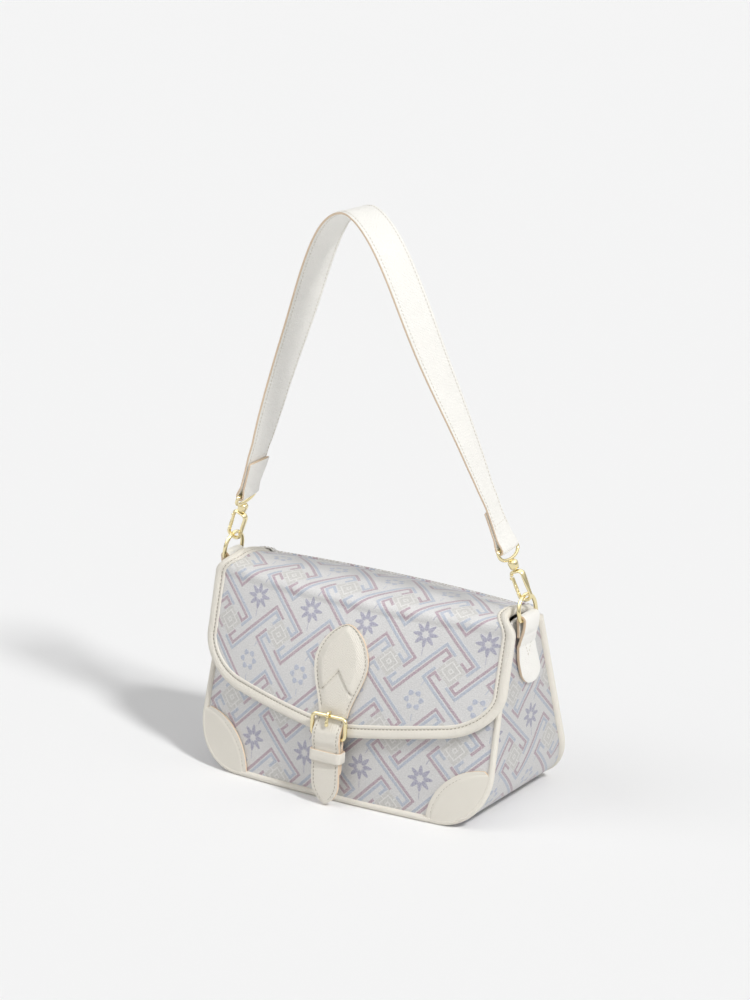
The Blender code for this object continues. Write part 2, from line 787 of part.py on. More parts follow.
# Shoulder strap: one ribbon that turns round both bails and folds back inside
BAR_X = CROWN_X - BAIL_BAR * math.sin(HOOK_LEAN)
BAR_Z = CROWN_Z + BAIL_BAR * math.cos(HOOK_LEAN)
ARM_Z = [BAR_Z, 230.0, 248.0, 267.0, 286.0, 305.0, 324.0, 343.0, 361.0, 381.0, 402.0, 419.0, 432.0, 439.5]
ARM_X = [BAR_X, 103.0, 99.0, 93.5, 88.5, 83.0, 77.0, 70.5, 64.5, 57.0, 47.0, 35.0, 20.0, 0.0]


def arm_line():
    """Dense centre line from the right bail to the middle of the strap."""
    full = list(zip(ARM_X, ARM_Z))
    full = full + [(-x, z) for x, z in reversed(full[:-1])]
    pts = np.array(full)
    run = np.concatenate([[0.0], np.cumsum(np.hypot(*np.diff(pts, axis=0).T))])
    even = np.linspace(0.0, run[-1], 121)
    line = np.stack([np.interp(even, run, pts[:, k]) for k in range(2)], axis=1)
    for _ in range(6):
        line[1:-1] = (line[:-2] + 2.0 * line[1:-1] + line[2:]) / 4.0
    return even, line


RUN, LINE = arm_line()
TOTAL = float(RUN[-1])


def on_arm(s):
    """Centre line point and outward normal at length s from the right bail."""
    x = float(np.interp(s, RUN, LINE[:, 0]))
    z = float(np.interp(s, RUN, LINE[:, 1]))
    a = max(s - 2.0, 0.0)
    b = min(s + 2.0, TOTAL)
    dx = float(np.interp(b, RUN, LINE[:, 0]) - np.interp(a, RUN, LINE[:, 0]))
    dz = float(np.interp(b, RUN, LINE[:, 1]) - np.interp(a, RUN, LINE[:, 1]))
    run = math.hypot(dx, dz)
    return x, z, dz / run, -dx / run


def strap_path():
    """(x, z, length from the nearer bail) along the ribbon, fold-back layers included."""
    half = []
    for s in (30.0, 24.0, 18.0, 12.0, 6.0, 2.0):
        x, z, nx, nz = on_arm(s)
        off = 1.7 + (STRAP_ROLL - 1.7) * smooth(1.0 - s / 15.0)
        half.append((x - nx * off, z - nz * off, s))
    x, z, nx, nz = on_arm(0.0)
    for k in range(9):
        a = math.radians(180.0 + 180.0 * k / 8)
        c = math.cos(a) * STRAP_ROLL
        d = math.sin(a) * STRAP_ROLL
        half.append((x + nx * c - nz * d, z + nz * c + nx * d, 0.0))
    grow = [2.0, 6.0, 12.0, 18.0, 24.0, 30.0, 36.0, 44.0, 54.0]
    grow = grow + steps(13, 66.0, TOTAL / 2.0)
    for s in grow:
        x, z, nx, nz = on_arm(s)
        off = 1.7 + (STRAP_ROLL - 1.7) * smooth(1.0 - s / 15.0)
        off = off * smooth((46.0 - s) / 14.0) if s > 32.0 else off
        half.append((x + nx * off, z + nz * off, s))
    return half + [(-x, z, s) for x, z, s in reversed(half[:-1])]


STRAP_PATH = strap_path()


def strap_surface(u, v):
    x, z, s = STRAP_PATH[int(v)]
    rise = smooth((z - 215.0) / 225.0)
    y = RING_Y - math.tan(math.radians(24.0) * rise) * x
    wide = STRAP_END + (STRAP_WIDE - STRAP_END) * smooth((s - 20.0) / 55.0)
    end = math.copysign(-8.0, x) * smooth(s / 30.0)
    turn = math.radians(end + (26.0 - end) * smooth((z - 240.0) / 150.0))
    p = Vector((x + u * wide / 2.0 * math.sin(turn), y + u * wide / 2.0 * math.cos(turn), z))
    return LEAN @ p


sheet(
    "shoulder_strap", strap_surface, steps(3, -1.0), list(range(len(STRAP_PATH))),
    STRAP, "cream_leather", HANDLE_AXIS, offset=0.0,
)

GUIDES.hide_render = True
bpy.context.view_layer.update()
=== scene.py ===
"""Flap bag with a buckled closure and a short clip-on strap, as a Blender add-on layout.

Sizes inside the surface formulas are millimetres; meshes are scaled to metres.
X runs right along the front, Y to the back, Z up, with the origin on the ground under the bag.
"""
import math

import bpy
import numpy as np
from mathutils import Matrix, Vector


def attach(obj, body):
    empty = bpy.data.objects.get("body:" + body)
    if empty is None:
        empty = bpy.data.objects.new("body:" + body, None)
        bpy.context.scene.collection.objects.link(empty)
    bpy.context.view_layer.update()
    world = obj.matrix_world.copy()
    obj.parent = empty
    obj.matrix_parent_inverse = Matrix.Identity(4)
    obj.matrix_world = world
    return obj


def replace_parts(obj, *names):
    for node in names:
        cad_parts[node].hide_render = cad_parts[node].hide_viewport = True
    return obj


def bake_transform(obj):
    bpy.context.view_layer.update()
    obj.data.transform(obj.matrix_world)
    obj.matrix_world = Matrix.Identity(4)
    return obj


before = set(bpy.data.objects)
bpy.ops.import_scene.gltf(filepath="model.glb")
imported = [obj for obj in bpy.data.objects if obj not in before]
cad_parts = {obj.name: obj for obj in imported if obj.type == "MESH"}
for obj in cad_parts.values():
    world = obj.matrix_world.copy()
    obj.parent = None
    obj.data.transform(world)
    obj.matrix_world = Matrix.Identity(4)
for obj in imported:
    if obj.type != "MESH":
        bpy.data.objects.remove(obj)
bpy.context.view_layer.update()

bl_info = {
    "name": "Flap Bag",
    "version": (1, 0, 0),
    "blender": (4, 5, 0),
    "location": "View3D > Sidebar > Bag",
    "description": "Builds a small flap bag with leather edging and a short strap",
    "category": "Object",
}

MM = 0.001
WIDTH_BASE, WIDTH_TOP, HEIGHT, CORNER = 127.3, 122.7, 147.0, 38.0
DEPTH_BASE, DEPTH_TOP = 119.0, 40.0
BULGE_BASE, BULGE_MID, BULGE_TOP = 6.0, 17.0, 9.0
PIPING, BACK_ROLL = 2.4, 3.6
FLAP_PROUD, FLAP_HALF, FLAP_HALF_TOP = 6.6, 131.5, 121.5
FOLD_Y, FOLD_Z, FOLD_LOW = -16.0, 155.3, 142.0
FOLD_DIR = (-math.cos(math.radians(10.0)), -math.sin(math.radians(10.0)))
RING_X, RING_Y, RING_Z, RING_LEAN = 130.3, -6.0, 151.5, math.radians(8.0)
RING_R, RING_ARC = 11.5, 6.0  # radius of the ring's arc, and the arc's centre over the ring's bar
RING_TOP = RING_ARC + RING_R
CROWN = (RING_X - RING_TOP * math.sin(RING_LEAN), RING_Z + RING_TOP * math.cos(RING_LEAN))
HOOK_LEAN = math.radians(22.0)
BAIL, BAIL_WIRE = 38.0, 1.3  # height of the bail's bar over the ring's crown, and its radius
HANDLE_LEAN = math.radians(4.5)
SWING_Z = RING_Z + RING_ARC * math.cos(RING_LEAN)
LEAN = (
    Matrix.Translation((0.0, RING_Y, SWING_Z))
    @ Matrix.Rotation(HANDLE_LEAN, 4, "X")
    @ Matrix.Translation((0.0, -RING_Y, -SWING_Z))
)
SIDES = ((-1.0, "left"), (1.0, "right"))
REPEAT_SHARE = 0.99  # the cloth's repeat upwards as a share of the one across
FLOWER_X = -85.6  # place across the flap of a large flower
SLOPE_STEP = 0.005  # step along a cubic over which its slope is taken


def smooth(t):
    """3t^2 - 2t^3 with t held between 0 and 1."""
    t = np.clip(t, 0.0, 1.0)
    return t * t * (3.0 - 2.0 * t)


def half_width(z):
    """Half width of the body: straight line from the base width to the top width."""
    return WIDTH_TOP + (WIDTH_BASE - WIDTH_TOP) * (1.0 - z / HEIGHT)


def depth(z):
    """Depth between front and back seams: straight line in height."""
    return DEPTH_BASE + (DEPTH_TOP - DEPTH_BASE) * z / HEIGHT


def bulge(z):
    """Bow of a panel beyond its seams: a line in height plus a parabola, highest half way up."""
    t = z / HEIGHT
    middle = BULGE_MID - (BULGE_BASE + BULGE_TOP) / 2
    return BULGE_BASE * (1 - t) + BULGE_TOP * t + middle * 4 * t * (1 - t)


def circle(n):
    """Angles of n even steps round a circle."""
    return np.linspace(0, 2 * np.pi, n, endpoint=False)


def spread(n):
    """n numbers from -1 to 1, the sine of even steps: closer together at the ends."""
    return np.sin(np.linspace(-0.5, 0.5, n) * np.pi)


def xyz(x, y, z):
    """Points from three numbers or arrays that broadcast together."""
    return np.stack(np.broadcast_arrays(x, y, z), -1)


def face(x, z, out=0.0):
    """Front face: y is minus half the depth minus the bow times 1 - (x / half width)^2, minus out."""
    return xyz(x, -(depth(z) / 2 + bulge(z) * (1 - (x / half_width(z)) ** 2) + out), z)


def u_width(z, inset, bottom):
    """Half width of the U outline moved in by inset: straight sides, then a quarter circle."""
    r = CORNER - inset
    drop = np.clip(bottom + CORNER - z, 0.0, r)
    return half_width(z) - inset - r + np.sqrt(r * r - drop * drop)


def u_path(side, base, bottom, top, n_side=40, n_arc=40, n_base=70):
    """Points (x, z) round the U: down the side, a quarter circle, the base, and up again."""
    centre = bottom + CORNER
    z = np.linspace(top, centre, n_side, endpoint=False)
    s = np.stack([half_width(z) + side, z], -1)
    a = np.linspace(0.0, 0.5 * np.pi, n_arc)
    r = CORNER + side + (base - side) * np.sin(a) ** 2
    tip = half_width(centre) - CORNER
    drift = (half_width(bottom) - CORNER - tip) * np.linspace(0, 1, n_arc)
    arc = np.stack([tip + drift + r * np.cos(a), centre - r * np.sin(a)], -1)
    x = np.linspace(arc[-1, 0], 0.0, n_base // 2 + 1)[1:]
    flat = np.stack([x, np.full_like(x, arc[-1, 1])], -1)
    half = np.concatenate([s, arc, flat])
    return np.concatenate([half * [-1, 1], half[-2::-1]])


def bezier(p, t):
    """Cubic curve from four control points, each an array that broadcasts with t."""
    s = 1.0 - t
    return s**3 * p[0] + 3 * s * s * t * p[1] + 3 * s * t * t * p[2] + t**3 * p[3]


def off_curve(x, ys, zs, t, proud):
    """Cubic in a plane of constant x, moved outwards by proud along its normal."""
    e = np.clip(t, 0.0, 1.0 - SLOPE_STEP)
    dy, dz = (bezier(p, e + SLOPE_STEP) - bezier(p, e) for p in (ys, zs))
    run = np.hypot(dy, dz)
    return xyz(x, bezier(ys, t) + proud * dz / run, bezier(zs, t) - proud * dy / run)


def top_line(x, t, proud=0.0):
    """Top of the flap in a plane of constant x: a cubic from the back seam to the fold."""
    edge = -face(np.minimum(np.abs(x), FLAP_HALF_TOP), HEIGHT)[..., 1]
    ys = (edge, edge - 9.0, FOLD_Y - 10.0 * FOLD_DIR[0], FOLD_Y)
    zs = (HEIGHT + 1.2, HEIGHT + 4.5, FOLD_Z - 10.0 * FOLD_DIR[1] + 0.6, FOLD_Z)
    return off_curve(x, ys, zs, t, proud)


def fold_line(x, t, proud=0.0):
    """Front fold of the flap in a plane of constant x: a cubic from the fold to the flat front."""
    low = face(x, FOLD_LOW, FLAP_PROUD)[..., 1]
    reach = 0.66 * (FOLD_Y - low)
    ys = (FOLD_Y, FOLD_Y + reach * FOLD_DIR[0], low + 0.4, low)
    zs = (FOLD_Z, FOLD_Z + reach * FOLD_DIR[1], FOLD_LOW + 9.0, FOLD_LOW)
    return off_curve(x, ys, zs, t, proud)


def normals(line):
    """Unit direction of a plane line at each point, and the same turned left by 90 degrees."""
    d = np.gradient(line, axis=0)
    d /= np.linalg.norm(d, axis=1)[:, None]
    return d, np.stack([-d[:, 1], d[:, 0]], -1)


def flap_half(t):
    """Half width of the flap between the fold and the flat front: a smooth step."""
    return FLAP_HALF_TOP + (FLAP_HALF - FLAP_HALF_TOP) * smooth(t)


def lower_edge(x):
    """Lower edge of the flap: a hyperbola with a circular corner at each side."""
    low, slope, blunt = 52.5, 0.161, 12.0
    corner_x, corner_wide, corner_high = 92.0, 39.5, 28.0
    a = np.clip((np.abs(x) - corner_x) / corner_wide, 0.0, 1.0)
    return low + slope * (np.hypot(x, blunt) - blunt) + corner_high * (1.0 - np.sqrt(1.0 - a * a))


def edge_outline(n=240, n_side=24):
    """Flap outline (x, z, inward normal x, z) from the left fold down, across and up."""
    x = FLAP_HALF * spread(n)
    low = np.stack([x, lower_edge(x)], -1)
    z = np.linspace(FOLD_LOW, low[0, 1], n_side, endpoint=False)
    side = np.stack([np.full_like(z, FLAP_HALF), z], -1)
    p = np.concatenate([side * [-1, 1], low, side[::-1]])
    return np.concatenate([p, normals(p)[1]], 1)


# Mesh helpers
def put(name, verts, faces, mats, face_mat=None, uv=None, body=None):
    """Mesh from arrays in millimetres, turned outwards when its signed volume is negative."""
    verts = np.asarray(verts, float).reshape(-1, 3) * MM
    tri = np.array([(f[0], f[k], f[k + 1]) for f in faces for k in range(1, len(f) - 1)])
    a, b, c = (verts[tri[:, k]] for k in range(3))
    if np.einsum("ij,ij->i", a, np.cross(b, c)).sum() < 0:
        faces = [f[::-1] for f in faces]
    mesh = bpy.data.meshes.new(name)
    mesh.from_pydata(verts.tolist(), [], faces)
    for mat in mats:
        mesh.materials.append(mat)
    if face_mat is not None:
        mesh.polygons.foreach_set("material_index", np.asarray(face_mat, np.int32))
    mesh.polygons.foreach_set("use_smooth", np.ones(len(faces), bool))
    if uv is not None:
        layer = mesh.uv_layers.new(name="cloth")
        index = np.empty(len(mesh.loops), np.int32)
        mesh.loops.foreach_get("vertex_index", index)
        layer.data.foreach_set("uv", np.asarray(uv, np.float32)[index].ravel())
    mesh.update()
    obj = bpy.data.objects.new(name, mesh)
    bpy.context.scene.collection.objects.link(obj)
    if body is not None:
        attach(obj, body)
    return obj


def grid(nv, nu, close_v=False, close_u=False):
    """Quads of an nv by nu grid of vertices, wrapped where it is closed."""
    i, j = np.meshgrid(
        np.arange(nv if close_v else nv - 1), np.arange(nu if close_u else nu - 1), indexing="ij"
    )
    i2, j2 = (i + 1) % nv, (j + 1) % nu
    q = np.stack([i * nu + j, i * nu + j2, i2 * nu + j2, i2 * nu + j], -1)
    return q.reshape(-1, 4)


def slab(name, outer, inner, mats, uv=None, body=None, bevel=0.0):
    """Closed plate between two grids; its rim takes the last material."""
    nv, nu = outer.shape[:2]
    top = grid(nv, nu)
    under = top[:, ::-1] + nv * nu
    ids = np.arange(nv * nu).reshape(nv, nu)
    loop = np.concatenate([ids[0, :], ids[1:, -1], ids[-1, -2::-1], ids[-2:0:-1, 0]])
    nxt = np.roll(loop, -1)
    rim = np.stack([nxt, loop, loop + nv * nu, nxt + nv * nu], -1)
    faces = np.concatenate([top, under, rim])
    mat = np.concatenate([np.zeros(len(top) * 2), np.full(len(rim), len(mats) - 1)])
    verts = np.concatenate([outer.reshape(-1, 3), inner.reshape(-1, 3)])
    if uv is not None:
        uv = np.concatenate([uv.reshape(-1, 2)] * 2)
    obj = put(name, verts, faces.tolist(), mats, mat, uv, body)
    if bevel:
        soft = obj.modifiers.new("rim", "BEVEL")
        soft.width = bevel * MM
        soft.segments = 2
        soft.limit_method = "ANGLE"
        soft.angle_limit = math.radians(50)
    return obj


def sweep(name, rings, mats, ring_mat=None, closed=False, body=None):
    """Rings of points joined along a path; open ends are capped."""
    n, m = rings.shape[:2]
    faces = grid(n, m, close_v=closed, close_u=True).tolist()
    mat = np.tile(ring_mat if ring_mat is not None else np.zeros(m), n if closed else n - 1).tolist()
    if not closed:
        faces += [list(range(m))[::-1], list(range((n - 1) * m, n * m))]
        mat += [0, 0]
    return put(name, rings, faces, mats, mat, None, body)


def frames(path, ref, closed=False):
    """Unit normal and binormal along a path: ref less its part along the tangent, and their cross."""
    if closed:
        d = np.roll(path, -1, 0) - np.roll(path, 1, 0)
    else:
        d = np.gradient(path, axis=0)
    d = d / np.linalg.norm(d, axis=1)[:, None]
    ref = np.broadcast_to(np.asarray(ref, float), path.shape)
    n = ref - (ref * d).sum(1)[:, None] * d
    n = n / np.linalg.norm(n, axis=1)[:, None]
    return n, np.cross(d, n)


def rod(name, path, radius, mats, ref=(0, 1, 0), closed=False, sides=20, body=None, flat=1.0):
    """Round bar: circles of the radius carried along the path; flat scales them along ref."""
    path = np.asarray(path, float)
    n, b = frames(path, ref, closed)
    a = circle(sides)
    r, flat = (np.broadcast_to(k, len(path))[:, None, None] for k in (radius, flat))
    c, s = np.cos(a)[None, :, None] * flat, np.sin(a)[None, :, None]
    rings = path[:, None] + r * (c * n[:, None] + s * b[:, None])
    return sweep(name, rings, mats, closed=closed, body=body)


def along(path, step, start):
    """Evenly spaced points and directions along a path."""
    run = climb(path)
    at = np.arange(start, run[-1], step)
    p, q = points_at(at, run, path), points_at(at + 0.2, run, path)
    return p, (q - p) / (np.linalg.norm(q - p, axis=1)[:, None] + 1e-9)


def sew(name, paths, body, thread="thread"):
    """Thread: capsules of four six-sided rings, one at every stitch step along each path."""
    s = bpy.context.scene.bag_leather
    first = 0.8
    p, d = zip(*(along(path, s.step / MM, first) for path in paths))
    p, d = np.concatenate(p), np.concatenate(d)
    keep = np.linalg.norm(d, axis=1) > 0.5
    p, d = p[keep], d[keep]
    side = np.cross(d, [0.3, -0.9, 0.35])
    side /= np.linalg.norm(side, axis=1)[:, None]
    up = np.cross(d, side)
    t = np.array([-1.0, -0.8, 0.8, 1.0]) * s.stitch / MM / 2
    r = np.array([0.35, 1.0, 1.0, 0.35]) * s.thick / MM / 2
    a = circle(6)
    ring = np.cos(a)[:, None] * side[:, None, None] + np.sin(a)[:, None] * up[:, None, None]
    v = p[:, None, None] + t[None, :, None, None] * d[:, None, None] + r[None, :, None, None] * ring
    one = grid(4, 6, close_u=True).tolist() + [[5, 4, 3, 2, 1, 0], [18, 19, 20, 21, 22, 23]]
    faces = [[k + 24 * i for k in f] for i in range(len(p)) for f in one]
    return put(name, v, faces, [finish(thread)], body=body)


# Materials
MADE = {}


class Graph:
    """Node tree of a material or world, with short names for making and linking its nodes."""

    def __init__(self, owner, last):
        owner.use_nodes = True
        self.owner = owner
        self.tree = owner.node_tree
        self.last = self.tree.nodes[last]

    def plug(self, socket, value):
        """Link a value to a socket, or type in a number, a vector or a colour."""
        if isinstance(value, Value):
            self.tree.links.new(value.socket, socket)
        else:
            socket.default_value = (*value, 1.0) if socket.type == "RGBA" else value

    def node(self, kind, inputs=(), out=0, **settings):
        """New node with its settings and inputs; the answer is one of its outputs."""
        made = self.tree.nodes.new("ShaderNode" + kind)
        for key, value in settings.items():
            setattr(made, key, value)
        for key, value in dict(inputs).items():
            self.plug(made.inputs[key], value)
        return Value(self, made.outputs[out])

    def math(self, op, a, b=0.0, c=0.0, clamp=False):
        """One arithmetic step of up to three numbers."""
        return self.node("Math", enumerate((a, b, c)), operation=op, use_clamp=clamp)

    def mix(self, factor, a, b):
        """Colour a, or b where the factor is 1."""
        return self.node("Mix", {0: factor, 6: a, 7: b}, 2, data_type="RGBA")

    def where(self, factor, a, b):
        """Number a, or b where the factor is 1."""
        return self.node("Mix", {0: factor, 2: a, 3: b}, data_type="FLOAT")

    def noise(self, at, scale):
        """Noise from 0 to 1."""
        return self.node("TexNoise", {"Vector": at, "Scale": scale}, "Fac")

    def place(self):
        """Place on the object, in metres."""
        return self.node("TexCoord", out="Object")

    def bump(self, height, strength, distance):
        """Tilt the surface's shading by a height."""
        inputs = {"Height": height, "Strength": strength, "Distance": distance}
        self.set(Normal=self.node("Bump", inputs))

    def set(self, **values):
        """Fill inputs of the last shader; an underscore stands for a space."""
        for key, value in values.items():
            self.plug(self.last.inputs[key.replace("_", " ")], value)


class Value:
    """Shader socket that is added, subtracted, multiplied and divided like a number."""

    def __init__(self, graph, socket):
        self.graph = graph
        self.socket = socket

    def __add__(self, other):
        return self.graph.math("ADD", self, other)

    def __sub__(self, other):
        return self.graph.math("SUBTRACT", self, other)

    def __rsub__(self, other):
        return self.graph.math("SUBTRACT", other, self)

    def __mul__(self, other):
        return self.graph.math("MULTIPLY", self, other)

    def __truediv__(self, other):
        return self.graph.math("DIVIDE", self, other)

    def __abs__(self):
        return self.graph.math("ABSOLUTE", self)


def material(name):
    """Graph of a new material that ends in its principled shader."""
    return Graph(bpy.data.materials.new(name), "Principled BSDF")


def tint(colour, share):
    """Colour times a share."""
    return tuple(share * c for c in colour)


def leather(name, colour, grain, rough=0.5):
    """Embossed leather: two crossed sets of short ridges broken up by rounded cells and noise."""
    g = material(name)
    at = g.place()
    cells = g.node("TexVoronoi", {"Vector": at, "Scale": 800.0}, "Distance", feature="SMOOTH_F1")
    ridges = 0.0
    for turn in (0.7, 2.27):
        spun = g.node("Mapping", {"Vector": at, "Rotation": (0.4, turn, 0.3)})
        wave = {"Vector": spun, "Scale": 310.0, "Distortion": 4.0, "Detail": 1.0, "Detail Scale": 2.0}
        ridges = g.node("TexWave", wave, "Fac", wave_profile="SIN") + ridges
    g.bump(cells + ridges * 0.5, grain, 0.0005)
    g.set(Base_Color=g.mix(g.noise(at, 60.0), colour, tint(colour, 0.95)), Roughness=rough)
    g.set(Specular_IOR_Level=0.4)
    return g.owner


def brocade(name):
    """Woven fret and flowers from the piece's own cloth map.

    One repeat is 50 units. Flowers sit in the middle of each cell and keys on its corners. Round a
    key, in the diamond distance f and the place e along its side, pairs of lines turn back as hooks;
    a pair's two colours change places from one key to the next. A flower's petal is an ellipse in
    the distance from the middle and in |sin(n angle)| times that distance.
    """
    s = bpy.context.scene.bag_cloth
    g = material(name)
    uv = g.node("UVMap", uv_map="cloth")
    u, v = (g.node("SeparateXYZ", {0: uv}, k) for k in (0, 1))

    def cell(at):
        """Place in the repeat, -25 to 25."""
        return (g.math("FRACT", at) - 0.5) * 50.0

    def odd(at):
        """1 in every second cell."""
        return g.math("MODULO", abs(g.math("FLOOR", at)), 2.0)

    def line(at, centre, half):
        """Distance outside a line of the half width."""
        return abs(at - centre) - half

    def cut(shape, *limits):
        """Greatest of the shapes: where all of them overlap."""
        for limit in limits:
            shape = g.math("MAXIMUM", shape, limit)
        return shape

    def join(*shapes):
        """Least of the shapes with a soft edge: 1 inside any of them, 0 outside all."""
        both = shapes[0]
        for shape in shapes[1:]:
            both = g.math("MINIMUM", both, shape)
        return g.math("MULTIPLY_ADD", both, -3.0, 0.5, clamp=True)

    ku, kv = u + 0.5, v + 0.5
    kx, kz = cell(ku), cell(kv)
    a, b = (kz - kx) * math.sqrt(0.5), (kz + kx) * math.sqrt(0.5)
    f = g.math("MAXIMUM", abs(a), abs(b))
    wide = g.math("GREATER_THAN", abs(a), abs(b))
    e = g.where(wide, a * (g.math("SIGN", b) * -1.0), b * g.math("SIGN", a))
    h = 1.12
    far, side, near = 16.1, 7.1, 10.1
    inner = join(
        cut(line(f, far, h), e - (side + h)), cut(line(e, side, h), 9.9 - h - f, f - (far + h)),
        cut(line(f, near, h), -0.6 - e, e - (side + h)), cut(line(e, far, h), 15.0 - f),
    )
    far, side = 19.2, 9.9
    outer = join(
        cut(line(f, far, h), e - (side + h)), cut(line(e, side, h), f - (far + h)),
        cut(line(f, side, h), e + 7.5),
    )
    swap = odd(g.math("FLOOR", ku) + g.math("FLOOR", kv))
    key_half, ring_half = 8.0, 5.2
    key = join(f - key_half)
    spoke = cut(line(e, 0.0, 0.45), ring_half - f, f - key_half)
    ring = join(line(f, ring_half, 0.5), line(f, 1.4, 0.5), spoke)

    x, z = cell(u), cell(v)
    rose = odd(v)
    r = g.math("SQRT", x * x + z * z)
    across = abs(g.math("SINE", g.math("ARCTAN2", z, x) * g.where(rose, 4.0, 3.0))) * r
    p = (r - g.where(rose, 6.3, 6.0)) / g.where(rose, 3.9, 2.1)
    q = across * g.where(rose, 0.25, 0.33) / g.where(rose, 1.38, 1.8)
    petal = g.math("MULTIPLY_ADD", p * p + q * q, -3.0, 3.4, clamp=True)
    stem = cut(line(x, 0.0, 0.35), line(z, -13.5, 2.6))
    leaf = cut(line((z - x * 1.9) * 0.466, 1.9, 0.4), line(z, 13.6, 2.2))

    twill = g.math("SINE", (u + v) * 520.0)
    weft = g.math("SINE", (u - v) * 330.0)
    fleck = g.math("MULTIPLY_ADD", g.noise(uv, 45.0), 2.4, -0.9, clamp=True)
    flower = g.mix(rose, s.flower, s.rosette)
    base = g.mix(g.noise(uv, 5.0), s.ground, tint(s.ground, 0.93))
    for share, top in (
        (key * 0.8, s.key), (ring * 0.32, s.white), (inner, g.mix(swap, s.plum, s.blue)),
        (outer, g.mix(swap, s.blue, s.plum)), (petal * 0.9, flower), (join(stem, leaf) * 0.7, flower),
        (g.math("MULTIPLY_ADD", twill, 0.05, 0.05), s.white), (fleck * 0.4, s.white),
    ):
        base = g.mix(share, base, top)
    raised = cut(inner, outer, petal, ring)
    g.bump(raised + (twill + weft * key) * 0.22 + fleck * 0.8, 0.45, 0.0003)
    g.set(Base_Color=base, Roughness=g.where(raised, 0.5, 0.44), Metallic=s.sheen)
    g.set(Sheen_Weight=0.15, Specular_IOR_Level=0.6)
    return g.owner


def plain(name, colour, rough, metal=0.0, bump=0.0):
    """One colour with an optional fine noise bump."""
    g = material(name)
    g.set(Base_Color=colour, Roughness=rough, Metallic=metal)
    if bump:
        g.bump(g.noise(g.place(), 600.0), bump, 0.0003)
    return g.owner


def finish(name):
    """The named material, made the first time it is asked for."""
    if name not in MADE:
        s, metal = bpy.context.scene.bag_leather, bpy.context.scene.bag_metal
        kind, *looks = {
            "brocade": (brocade,),
            "cream": (leather, s.cream, s.grain),
            # Corner patches: the same leather, smoother, with its colour darkened by 0.88 as painted shade
            "cream_smooth": (leather, tint(s.cream, 0.88), 0.12, 0.42),
            # Strap and ring tabs: a lighter, paler copy of the leather colour as painted light
            "cream_light": (leather, s.light, 0.7 * s.grain),
            "edge": (leather, s.edge, 0.3, 0.6),
            "thread": (plain, s.thread, 0.8),
            "pale": (plain, tint(s.cream, 0.86), 0.8),
            "gold": (plain, metal.gold, 0.16, 1.0),
            "steel": (plain, (0.55, 0.55, 0.56), 0.3, 1.0),
            "lining": (plain, (0.50, 0.43, 0.35), 0.9, 0.0, 0.6),
        }[name]
        MADE[name] = kind(name, *looks)
    return MADE[name]


def colour(label, words, value):
    """Colour property."""
    return bpy.props.FloatVectorProperty(
        name=label, description=words, subtype="COLOR", size=3, min=0.0, max=1.0, default=value
    )


def size(label, words, value):
    """Length property, given in millimetres."""
    return bpy.props.FloatProperty(
        name=label, description=words, subtype="DISTANCE", unit="LENGTH", default=value * MM, precision=5
    )


def number(label, words, value, subtype="NONE"):
    """Plain number, share or angle property."""
    return bpy.props.FloatProperty(name=label, description=words, subtype=subtype, default=value)


class BagCloth(bpy.types.PropertyGroup):
    """Colours and repeat of the woven cloth."""

    ground: colour("Ground", "Silky ground of the cloth", (0.60, 0.595, 0.59))
    key: colour("Key", "Ground of the squares between the hooks", (0.50, 0.49, 0.465))
    white: colour("White", "White floats", (0.88, 0.87, 0.86))
    blue: colour("Blue", "Pale blue lines", (0.37, 0.41, 0.49))
    plum: colour("Mauve", "Mauve lines", (0.37, 0.27, 0.315))
    flower: colour("Flower", "Large flowers", (0.27, 0.265, 0.37))
    rosette: colour("Rosette", "Small round flowers", (0.35, 0.385, 0.49))
    sheen: number("Sheen", "Metallic share of the silk", 0.52, "FACTOR")
    repeat: size("Repeat", "Distance from flower to flower", 49.5)


class BagLeather(bpy.types.PropertyGroup):
    """Leather colours, grain and stitches."""

    cream: colour("Leather", "Face of the leather", (0.85, 0.81, 0.725))
    # The strap and tab leather is the same leather painted lighter and paler: painted light
    light: colour("Light leather", "Face of the strap and the ring tabs", (0.905, 0.89, 0.845))
    edge: colour("Raw edge", "Cut edges of the leather", (0.78, 0.62, 0.46))
    thread: colour("Thread", "Sewing thread", (0.40, 0.36, 0.30))
    grain: number("Grain", "Depth of the leather grain", 0.75, "FACTOR")
    stitch: size("Stitch", "Length of one stitch", 1.9)
    step: size("Stitch step", "Distance from stitch to stitch", 3.0)
    thick: size("Thread", "Thickness of the thread", 0.5)


class BagMetal(bpy.types.PropertyGroup):
    """Plating and wire sizes of the hardware."""

    gold: colour("Gold", "Plating colour", (0.87, 0.76, 0.46))
    ring_wire: size("Ring wire", "Radius of the ring wire", 1.5)
    hook_wire: size("Hook wire", "Radius of the hook bar", 1.5)
    buckle_wire: size("Buckle wire", "Radius of the buckle wire", 1.5)


class BagStrap(bpy.types.PropertyGroup):
    """Strap width and thickness."""

    wide: size("Width", "Width of the strap in the middle", 26.0)
    end: size("End width", "Width of the strap at its ends", 20.6)
    thick: size("Thickness", "Thickness of the strap", 2.3)


class BagStage(bpy.types.PropertyGroup):
    """Light and floor."""

    sun: number("Sun", "Strength of the soft sun", 1.95)
    fill: number("Fill", "Strength of the wide sun behind", 0.5)
    sky: number("Sky", "Strength of the white surround", 0.45)
    floor: colour("Floor", "Floor colour", (0.872, 0.872, 0.872))
    back: colour("Background", "Colour behind the object", (0.90, 0.90, 0.90))
    soft: number("Softness", "Angle of the sun", 0.14, "ANGLE")
    turn: number("Turn", "Sun round the object", 1.3, "ANGLE")
    height: number("Height", "Sun above the floor", 0.82, "ANGLE")


GROUPS = {
    "bag_cloth": BagCloth, "bag_leather": BagLeather, "bag_metal": BagMetal,
    "bag_strap": BagStrap, "bag_stage": BagStage,
}


